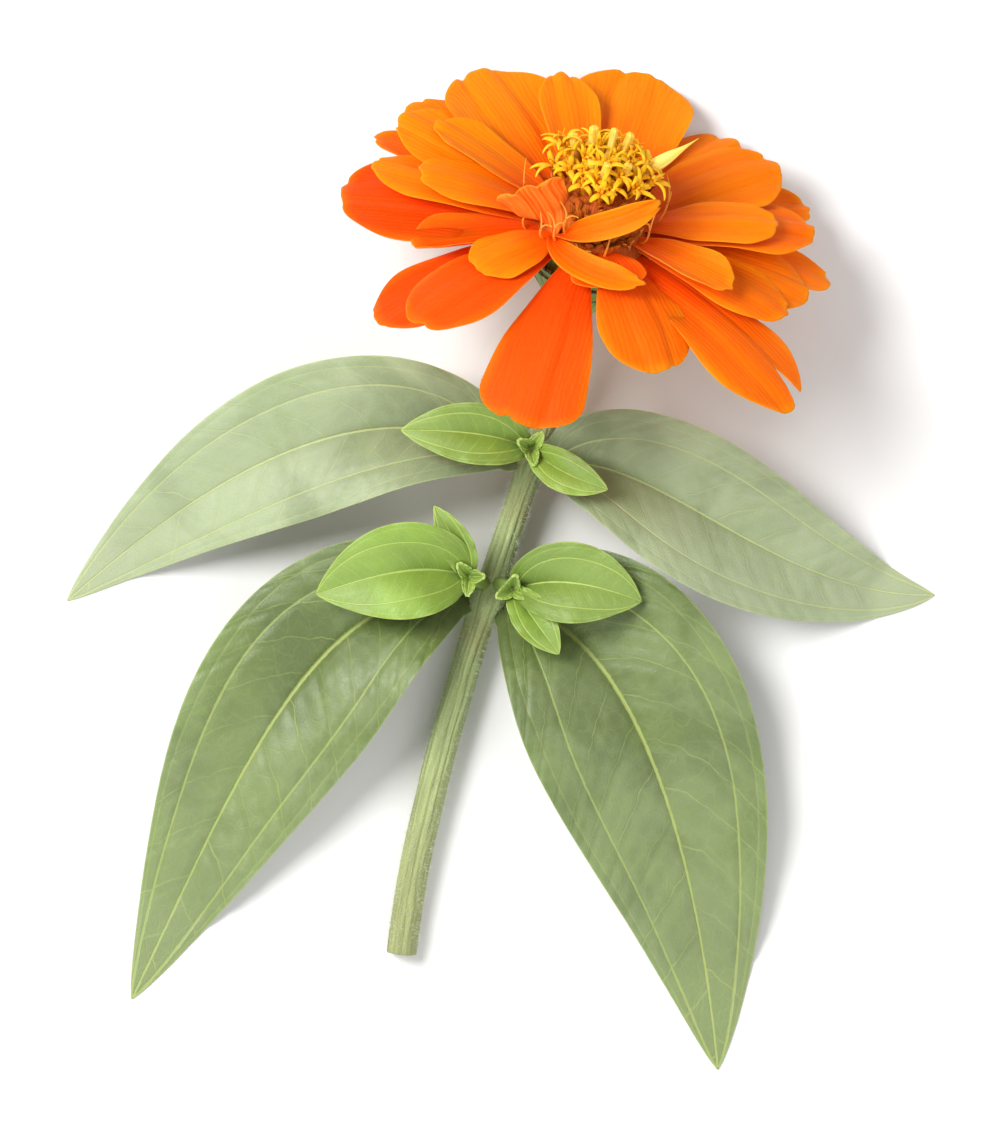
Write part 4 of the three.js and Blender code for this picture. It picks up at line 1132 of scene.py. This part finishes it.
class ZINNIA_OT_stem(Builder, bpy.types.Operator):
    """Makes the ribbed stem with its swollen leaf joints, its cut end and its hairs"""
    bl_idname = "zinnia.stem"
    bl_label = "Stem"

    def execute(self, context):
        sizes, colours = self.settings(context)
        sides = 72
        t = np.linspace(0, 1, 260)
        path, ahead = bezier(STEM_LINE, t)
        turn = spokes(sides)
        ribs = 0.075 * np.cos(11 * turn + 2.5 * t[:, None]) + 0.04 * np.cos(5 * turn - 9 * t[:, None])
        ribs = ribs + 0.05 * np.sin(40 * t[:, None] + 2 * turn) * np.cos(3 * turn)
        radii = stem_radius(t)[:, None] - 0.1 + ribs
        # The cut end gets a narrow rounded rim, and the top a short plug in the cup.
        front = np.array([path[0] - ahead[0] * out for _, out in CUT_RIM])
        front_radii = np.array([radii[0] * share for share, _ in CUT_RIM])
        path = np.concatenate([front, path, [path[-1] + ahead[-1] * 0.5]])
        radii = np.concatenate([front_radii, radii, radii[-1:] * 0.98])
        add_piece("stem_skin", [pipe(path, radii, sides)], stem_finish(colours), ("stem",))

        draw = np.random.default_rng(11)
        count = sizes.hair_count
        share = draw.uniform(0.01, 0.995, count)
        heading = draw.uniform(0, 360, count)
        roots, away = stem_place(share, heading, -0.12)
        _, along = bezier(STEM_LINE, share)
        ways = away + 0.55 * along * draw.normal(0.2, 0.7, (count, 1)) + 0.25 * draw.normal(0, 1, (count, 3))
        ways = unit(ways)
        lengths = sizes.hair_length / MM * draw.uniform(0.45, 1.15, count)
        keep = (roots + ways * lengths[:, None])[:, 2] > 0.15  # the others would reach into the surface
        part = hairs(roots[keep], ways[keep], lengths[keep], 0.028, 0.1 * draw.uniform(0, 1, keep.sum()))
        add_piece("stem_down", [part], hair_finish(colours), ())
        return {"FINISHED"}


class ZINNIA_OT_leaves(Builder, bpy.types.Operator):
    """Makes the two pairs of leaves with their sunken veins and waved rims"""
    bl_idname = "zinnia.leaves"
    bl_label = "Leaves"

    def execute(self, context):
        sizes, colours = self.settings(context)
        green, sage = leaf_finish("green leaf", colours), leaf_finish("sage leaf", colours)
        for number, (name, item) in enumerate(LEAVES.items(), 1):
            seat, _ = stem_place(item.node, item.heading, -ROOT)
            upper = item.node == NODE_UPPER
            depth = sizes.vein_depth / MM * (0.55 if upper else 1.0)
            form = leaf_form((seat, *item.way), item.width, item.base, item.fold, item.roll, item.wave,
                             sizes.leaf_thickness / MM, depth, number)
            part = blade(**form, along=170, across=100, tint_and_lighting=LEAF_SHADES.get(name, 0.0))
            add_piece(name + "_blade", [part], sage if upper else green, (name,))
        return {"FINISHED"}


class ZINNIA_OT_shoots(Builder, bpy.types.Operator):
    """Makes the young side shoots in the angles of the leaves"""
    bl_idname = "zinnia.shoots"
    bl_label = "Young shoots"

    def execute(self, context):
        sizes, colours = self.settings(context)
        lime = leaf_finish("lime shoot leaf", colours)
        thickness, depth = sizes.leaf_thickness / MM, sizes.vein_depth / MM
        sides = 24
        t = np.linspace(0, 1, 24)
        radii = (1.15 + 0.25 * t)[:, None] * (1 + 0.06 * np.cos(6 * spokes(sides)))
        radii = radii * (1 - 0.5 * smooth((t - 0.8) / 0.2))[:, None]
        for number, (name, item) in enumerate(SHOOTS.items()):
            foot, _ = stem_place(item.node, item.heading, -ROOT)
            end = foot + item.stalk
            stalk = foot + np.outer(t, item.stalk)
            parts = [pipe(stalk, radii, sides, reference=np.array([0.0, 1.0, 0.0]), tint_and_lighting=0.4)]
            blades = [(end + tip, end + handle, width, False) for tip, handle, width in item.leaves]
            # Leaves that have only just opened stand in the shoot's middle.
            for k in range(YOUNG_COUNT):
                angle = 2.3 * k + 1.3 * number
                out = np.array([math.cos(angle), math.sin(angle), 0])
                tip = end + out * (2.4 + 0.5 * k) + [0, 0, 4.6 - 1.1 * k]
                blades.append((tip, end + out * 1.3 + [0, 0, 1.2], 3.2, True))
            for k, (last, first, width, young) in enumerate(blades):
                near = last * 0.55 + first * 0.45 + [0, 0, 0.3 if young else 2.0]
                fold, wave = ((44, 26), 0.08) if young else ((34, 12), 0.3)
                thin, shallow = (0.5, 0.2) if young else (0.85, 0.5)
                form = leaf_form((end - [0, 0, 0.9], first, near, last), width, 0.3, fold, (0, 0), wave,
                                 thickness * thin, depth * shallow, 11 + 7 * number + k)
                along, across = (34, 24) if young else (80, 56)
                parts.append(blade(**form, along=along, across=across,
                                   tint_and_lighting=SMALL_SHADE if k else SHOOT_SHADES[number]))
            add_piece(name + "_leaves", parts, lime, (name,))
        return {"FINISHED"}


class ZINNIA_OT_bracts(Builder, bpy.types.Operator):
    """Makes the green cup of overlapping bracts under the bloom"""
    bl_idname = "zinnia.bracts"
    bl_label = "Bracts"

    @staticmethod
    def bract(corners, length, width, angle, number, droll):
        """One bract, along a curve of distance and height, whose tip stands off more or less."""
        def half(s):
            return width / 2 * (0.55 + 0.45 * np.sin(math.pi * np.minimum(s, 0.85) * 0.75))

        def sheet(s, q):
            torn = 0.012 * np.sin(23 * q + number) + 0.01 * np.sin(41 * q + 2 * number)
            way = s * (1 - (0.3 * np.abs(q) ** 2.4 + torn) * s)
            u = 1 - way
            spot = (corners[0] * (u * u)[..., None] + 2 * corners[1] * (u * way)[..., None]
                    + corners[2] * (way * way)[..., None])
            stand_off = 0.25 * smooth((way - 0.75) / 0.25) * (0.4 + 0.6 * droll)
            reach = spot[..., 0] + 0.12 * np.cos(math.pi * q) + stand_off
            reach = reach + 0.05 * np.cos(14 * q) * smooth(way * 3)
            turn = angle + q * half(way) / np.maximum(spot[..., 0], 4)
            return point(reach * np.cos(turn), reach * np.sin(turn), spot[..., 1])

        return blade(sheet, half, length, 0.5, 22, 22, number=number, tint_and_lighting=0.5 + 0.5 * droll)

    def execute(self, context):
        _, colours = self.settings(context)
        parts = [turned(CUP_PROFILE, 64)]
        for level, (count, foot, low, mid, mid_height, tip, tip_height, width) in enumerate(BRACT_ROWS):
            corners = np.array([(foot, low), (mid, mid_height), (tip, tip_height)])
            length = float(np.linalg.norm(corners[2] - corners[0])) * 1.08
            for k in range(count):
                parts.append(self.bract(corners, length, width, 2 * math.pi * (k + 0.4 * level) / count,
                                        3.1 * k + 31 * level, wobble(k, level + 70)))
        add_piece("bract_cup", on_bloom(parts), bract_finish(colours), ("involucre",))
        return {"FINISHED"}


class ZINNIA_OT_rays(Builder, bpy.types.Operator):
    """Makes the orange rays and the bed that they grow from"""
    bl_idname = "zinnia.rays"
    bl_label = "Rays"

    def execute(self, context):
        sizes, colours = self.settings(context)
        thickness, rib_depth = sizes.ray_thickness / MM, sizes.ray_rib_depth / MM
        # Each ray's tint is the share of painted light that it gets.
        painted_lights = [light_share for row in RAY_PAINTED_LIGHT for light_share in row]
        parts = []
        for _, number, root, item in each_ray():
            sheet, half, length = ray_sheet(item, root, number, thickness, rib_depth)
            across = max(20, int(item.width * 2.3))
            parts.append(blade(sheet, half, length, thickness, 46, across, number=number * 9.7,
                               tint_and_lighting=painted_lights[number - 1]))
        add_piece("ray_blades", parts, ray_finish(colours), ("ray_florets",))
        bed = turned(BED_PROFILE, 64, tint_and_lighting=0.2)
        add_piece("ray_bed", on_bloom([bed]), chaff_finish(colours), ("ray_florets",))
        return {"FINISHED"}


class ZINNIA_OT_chaff(Builder, bpy.types.Operator):
    """Makes the cone of dry scales between the florets"""
    bl_idname = "zinnia.chaff"
    bl_label = "Chaff"

    def execute(self, context):
        sizes, colours = self.settings(context)
        parts = [turned(CONE_PROFILE, 56, tint_and_lighting=0.1)]
        longest = sizes.chaff_length / MM

        def outline(s):
            return np.maximum(np.sin(math.pi * np.clip(s * 0.72 + 0.24, 0, 1)) ** 0.8, 0.1)

        marks = ray_marks((2,), 4.0)
        for k in range(SCALE_COUNT):
            share = k / (SCALE_COUNT - 1)
            reach = 7.6 + 0.5 * (1 - smooth(share * 3))
            slant = math.radians(46 - 24 * share + 12 * wobble(k, 3))
            root, ahead, side = leaning(GOLDEN_ANGLE * k, reach, 3.2 + 7.9 * share - 0.6, slant)
            for short in SHORTENINGS:
                length = longest * (0.9 + 0.28 * wobble(k, 4)) * short
                scale = bent_blade(root, ahead, side, length, 0.72, -10 + 26 * wobble(k, 7), 0.6, outline,
                                   0.16, 9, 10, number=k * 1.7, tint_and_lighting=0.5 + 0.5 * wobble(k, 5), fringe=0.26)
                if not touches(scale, marks):
                    parts.append(scale)
                    break
        for k in range(CROWN_COUNT):
            share = math.sqrt((k + 0.5) / CROWN_COUNT)
            slant = math.radians(4 + 34 * share + 8 * wobble(k, 6))
            height = 13.1 - 1.6 * share * share
            root, ahead, side = leaning(GOLDEN_ANGLE * k + 1.1, 7.1 * share, height, slant)
            parts.append(bent_blade(root, ahead, side, 2.2, 0.55, -10, 0.5, outline, 0.14, 6, 6,
                                    number=k * 2.3, tint_and_lighting=0.6, fringe=0.2))
        add_piece("chaff_scales", on_bloom(parts), chaff_finish(colours), ("chaff_cone",))
        return {"FINISHED"}


class ZINNIA_OT_florets(Builder, bpy.types.Operator):
    """Makes the open yellow stars of the disc and the rolled young florets"""
    bl_idname = "zinnia.florets"
    bl_label = "Disc florets"

    @staticmethod
    def lobe_outline(s):
        return np.maximum(np.cos(s * math.pi / 2) ** 0.6 * (0.72 + 0.28 * np.sin(math.pi * s)), 0.05)

    def star(self, k, foot, full, marks):
        """The tube and lobes of open floret k, and the anthers and style in its mouth."""
        share = math.sqrt((DISC_COUNT - k) / DISC_COUNT)
        opened = share > 0.42
        # The florets that face the viewer stand a little more upright.
        front = smooth(-math.sin(GOLDEN_ANGLE * k) * 1.6 - 0.5) * share
        slant = math.radians(6 + (36 - 20 * front) * share * share + 8 * wobble(k, 21))
        root, ahead, side = leaning(GOLDEN_ANGLE * k, (DISC_RADIUS - 1) * share - 0.9 * front,
                                    foot + 2.3 - 1.6 * share * share, slant)
        out = np.cross(side, ahead)
        length = 2.8 + 0.5 * share + 0.5 * wobble(k, 22) + 2.0 * max(wobble(k, 20), 0) ** 2
        t = np.linspace(0, 1, 12)
        path = root + np.outer(-1.0 + (length + 0.6) * t, ahead)
        radii = 0.42 + 0.04 * np.sin(9 * t + k) + (0.34 if opened else 0.2) * smooth((t - 0.55) / 0.45)
        radii = radii[:, None] * (1 + 0.08 * np.cos(5 * spokes(20)))
        tube = pipe(path, radii, 20, reference=out, number=k * 3.1, tint_and_lighting=0.3)
        tube["share"][:, 0] *= 0.35
        stars, hearts = [tube], []

        mouth = root + ahead * (length - 0.35)
        reach = full * (1.0 - 0.25 * front if opened else 0.62)
        steep, wide, bent = (24, 0.52, 135) if opened else (8, 0.4, 40)
        for j in range(LOBE_COUNT):
            draw = LOBE_COUNT * k + j
            angle = 2 * math.pi * (j + 0.35 * wobble(k, 23) + 0.2 * wobble(draw, 28)) / LOBE_COUNT
            across = out * math.cos(angle) + side * math.sin(angle)
            lean = math.radians(steep + 16 * wobble(draw, 24))
            way = across * math.sin(lean) + ahead * math.cos(lean)
            skew = 0.45 * wobble(draw, 29)
            level = np.cross(ahead, across)
            tangent = level * math.cos(skew) + np.cross(way, level) * math.sin(skew)
            lobe = bent_blade(
                mouth + across * 0.36, way, tangent, reach * (1 + 0.22 * wobble(draw, 26)), wide,
                bent + 55 * wobble(draw, 25), -0.55, self.lobe_outline, 0.24, 20, 8,
                number=k * 3.1 + j, tint_and_lighting=0.5 + 0.5 * wobble(draw, 27))
            if not touches(lobe, marks):
                stars.append(lobe)

        # The anther tube stands in the mouth, and a forked style pushes through it.
        t = np.linspace(0, 1, 8)
        post = mouth + np.outer(-0.4 + (1.7 if opened else 0.9) * t, ahead)
        hearts.append(pipe(post, 0.3 - 0.1 * t ** 3, 10, reference=out, number=k * 1.3, tint_and_lighting=0.2))
        for sign in (-1, 1) if opened else ():
            curve = post[-1] + np.outer(t * 0.9, ahead) + np.outer(sign * 0.75 * t ** 1.5, side)
            hearts.append(pipe(curve, 0.13 - 0.06 * t, 6, reference=out, number=k, tint_and_lighting=0.9))
        return stars, hearts

    @staticmethod
    def quill(k, foot):
        """Rolled floret k: a pleated tube, closed at the top or drawn out to a tip."""
        heading, reach, slant, length = QUILLS[k]
        root, ahead, side = leaning(math.radians(heading), reach, foot + 1, math.radians(slant))
        t = np.linspace(0, 1, 48)
        bow = 0.35 * np.sin(math.pi * t) * wobble(k, 31) + 0.3 * t * t * wobble(k, 32)
        path = root + np.outer(-1.0 + (length + 1.0) * t, ahead) + np.outer(bow, side)
        if slant > LYING_SLANT:
            swell = 0.5 + 0.62 * hump(t, 0.4, 0.27) - 0.42 * smooth((t - 0.55) / 0.45)
            closed = 0 * t
        else:
            swell = 0.46 + (0.26 + 0.1 * wobble(k, 35)) * smooth(t / 0.8)
            closed = smooth((t - 0.93) / 0.07)
        sides = 40
        turn = spokes(sides)
        pleats = 1 + (0.07 + 0.22 * closed[:, None]) * np.cos(5 * turn + 1.6 * t[:, None])
        pleats = pleats + 0.04 * np.cos(10 * turn + 0.8) * smooth((t[:, None] - 0.5) / 0.4)
        swell = swell * np.sqrt(np.maximum(1 - 0.86 * closed ** 2, 0.02))
        tint_and_lighting = 0.0 if k in PALE_QUILLS else 1.2 + 0.6 * wobble(k, 33)
        return pipe(path, swell[:, None] * pleats, sides, reference=np.cross(side, ahead),
                    number=k * 5.3, tint_and_lighting=tint_and_lighting)

    def execute(self, context):
        sizes, colours = self.settings(context)
        foot = CONE_TOP + GAP
        marks = ray_marks((2,), 4.0)
        stars, hearts = [], []
        for k in range(DISC_COUNT):
            star, heart = self.star(k, foot, sizes.lobe_length / MM, marks)
            stars.extend(star)
            hearts.extend(heart)
        quills = [self.quill(k, foot) for k in range(len(QUILLS))]
        for name, parts, kind in (("disc_stars", stars, "open floret"), ("disc_anthers", hearts, "anther"),
                                  ("disc_quills", quills, "rolled floret")):
            add_piece(name, on_bloom(parts), floret_finish(kind, colours), ("disc_florets",))
        return {"FINISHED"}


class ZINNIA_OT_styles(Builder, bpy.types.Operator):
    """Makes the forked threads that stand at the feet of the rays"""
    bl_idname = "zinnia.styles"
    bl_label = "Styles"

    @staticmethod
    def thread(seat, item, number, full):
        """One thread and its two arms, from the claw of one ray."""
        heading = math.radians(item.heading - item.sweep + 8 * wobble(number, 80))
        slant = math.radians(14 + 22 * wobble(number, 81))
        _, ahead, side = leaning(heading, 0.0, 0.0, slant)
        length = full * (0.9 + 0.2 * wobble(number, 83))
        t = np.linspace(0, 1, 9)
        sway = 1.1 * wobble(number, 84)
        bow = np.cross(side, ahead) * (0.5 + 0.4 * wobble(number, 89))
        stalk = seat + np.outer(length * 0.5 * t - 0.15, ahead) + np.outer(sway * t * t, side)
        stalk = stalk + np.outer(np.sin(math.pi * t), bow)
        parts = [pipe(stalk, 0.2 - 0.02 * t, 8, reference=side, number=number, tint_and_lighting=0.3)]
        parts[0]["share"][:, 0] *= 0.5
        lead = unit(stalk[-1] - stalk[-2])
        for sign in (-1, 1):
            spread = 0.62 + 0.25 * wobble(number + sign, 85)
            curve = stalk[-1] + np.outer(length * 0.5 * (t - 0.22 * t ** 3) - 0.1, lead)
            curve = curve + np.outer(sign * spread * length * 0.5 * t ** 1.7, side)
            curve = curve + np.outer(0.9 * wobble(number + sign, 86) * t * t, np.cross(side, lead))
            parts.append(pipe(curve, 0.18 - 0.1 * t, 8, reference=side, number=number, tint_and_lighting=0.6))
            parts[-1]["share"][:, 0] = 0.5 + 0.5 * parts[-1]["share"][:, 0]
        return parts

    def execute(self, context):
        sizes, colours = self.settings(context)
        full = sizes.style_length / MM
        marks = ray_marks((0, 1, 2), -20.0)
        parts = []
        for _, number, root, item in each_ray():
            sheet, _, length = ray_sheet(item, root, number, *MARK_SHEET)
            for attempt in range(STYLE_TRIES):
                out = (3.0 + 2.2 * wobble(number + 0.31 * attempt, 87)) / length
                seat = to_bloom(sheet(np.array([out]), np.array([0.2 * wobble(number, 88)])))[0]
                thread = self.thread(seat, item, number + 0.13 * attempt, full * (1 - 0.02 * attempt))
                # The first two rings of the stalk may stand in the ray that it grows from.
                free = [{"points": thread[0]["points"][16:]}, *thread[1:]]
                if not any(touches(part, marks) for part in free):
                    parts.extend(thread)
                    break
        add_piece("ray_styles", on_bloom(parts), floret_finish("style thread", colours), ())
        return {"FINISHED"}


class ZINNIA_OT_stage(Builder, bpy.types.Operator):
    """Makes the pale floor, the soft lights, the sky and the camera"""
    bl_idname = "zinnia.stage"
    bl_label = "Stage"

    def execute(self, context):
        sizes, colours = self.settings(context)
        scene = context.scene
        span = 3.0
        mesh = bpy.data.meshes.new("floor")
        corners = [(-span, -span, 0), (span, -span, 0), (span, span, 0), (-span, span, 0)]
        mesh.from_pydata(corners, [], [(0, 1, 2, 3)])
        floor = bpy.data.objects.new("floor", mesh)
        scene.collection.objects.link(floor)

        def paper(tree):
            place = tree.add("ShaderNodeTexCoord").outputs["Object"]
            broad = tree.noise(place, 6.0, 2.0)
            fibre = tree.noise(place, 900.0, 3.0)
            colour = tree.mix(broad, rgba(colours.floor, 0.985), rgba(colours.floor))
            return {"Base Color": colour, "Roughness": tree.range(broad, 0.2, 0.8, 0.72, 0.8),
                    "Height": (fibre, 0.00002)}

        mesh.materials.append(finish("pale floor", paper, Specular_IOR_Level=0.2))

        low, high = (np.array(corner) for corner in CAD_BOX)
        middle = (low + high) / 2
        middle[2] = 0.02  # the height that the camera and the lights aim at
        for name, place, size, energy in LIGHTS:
            lamp = bpy.data.lights.new(name, "AREA")
            lamp.shape = "DISK"
            lamp.size = size
            lamp.energy = energy
            made = bpy.data.objects.new(name, lamp)
            made.location = place
            made.rotation_euler = (Vector(middle) - Vector(place)).to_track_quat("-Z", "Y").to_euler()
            scene.collection.objects.link(made)
        world = bpy.data.worlds.new("pale room")
        world.use_nodes = True
        sky = world.node_tree.nodes["Background"].inputs
        sky["Color"].default_value = (1.0, 1.0, 1.0, 1.0)
        sky["Strength"].default_value = 0.42
        scene.world = world
        scene.view_settings.view_transform = "Standard"

        camera = bpy.data.cameras.new("camera")
        made = bpy.data.objects.new("camera", camera)
        distance = sizes.camera_height
        made.location = Vector(middle) + Vector((0, 0, distance))
        camera.sensor_fit = "VERTICAL"
        camera.sensor_height = SENSOR
        camera.lens = SENSOR * distance / ((high[1] - low[1]) / FILLED)
        camera.clip_start, camera.clip_end = 0.01, 20.0
        scene.collection.objects.link(made)
        scene.camera = made
        return {"FINISHED"}


OPERATORS = (ZINNIA_OT_stem, ZINNIA_OT_leaves, ZINNIA_OT_shoots, ZINNIA_OT_bracts, ZINNIA_OT_rays,
             ZINNIA_OT_chaff, ZINNIA_OT_florets, ZINNIA_OT_styles, ZINNIA_OT_stage)


class ZINNIA_PT_panel(bpy.types.Panel):
    """Lists the flower's pieces and its settings"""
    bl_idname = "ZINNIA_PT_panel"
    bl_label = "Zinnia flower"
    bl_space_type = "VIEW_3D"
    bl_region_type = "UI"
    bl_category = "Zinnia"

    def draw(self, context):
        layout = self.layout
        column = layout.column(align=True)
        for operator in OPERATORS:
            column.operator(operator.bl_idname)
        groups = {"Sizes": context.scene.zinnia_sizes, "Colours": context.scene.zinnia_colours}
        for label, group in groups.items():
            box = layout.box()
            box.label(text=label)
            for name in group.__annotations__:
                box.prop(group, name)


CLASSES = (ZinniaSizes, ZinniaColours, *OPERATORS, ZINNIA_PT_panel)


def register():
    for item in CLASSES:
        bpy.utils.register_class(item)
    bpy.types.Scene.zinnia_sizes = bpy.props.PointerProperty(type=ZinniaSizes)
    bpy.types.Scene.zinnia_colours = bpy.props.PointerProperty(type=ZinniaColours)


def unregister():
    del bpy.types.Scene.zinnia_colours
    del bpy.types.Scene.zinnia_sizes
    for item in reversed(CLASSES):
        bpy.utils.unregister_class(item)


def main():
    register()
    for operator in OPERATORS:
        group, name = operator.bl_idname.split(".")
        getattr(getattr(bpy.ops, group), name)()
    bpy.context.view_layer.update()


if __name__ == "__main__":
    main()
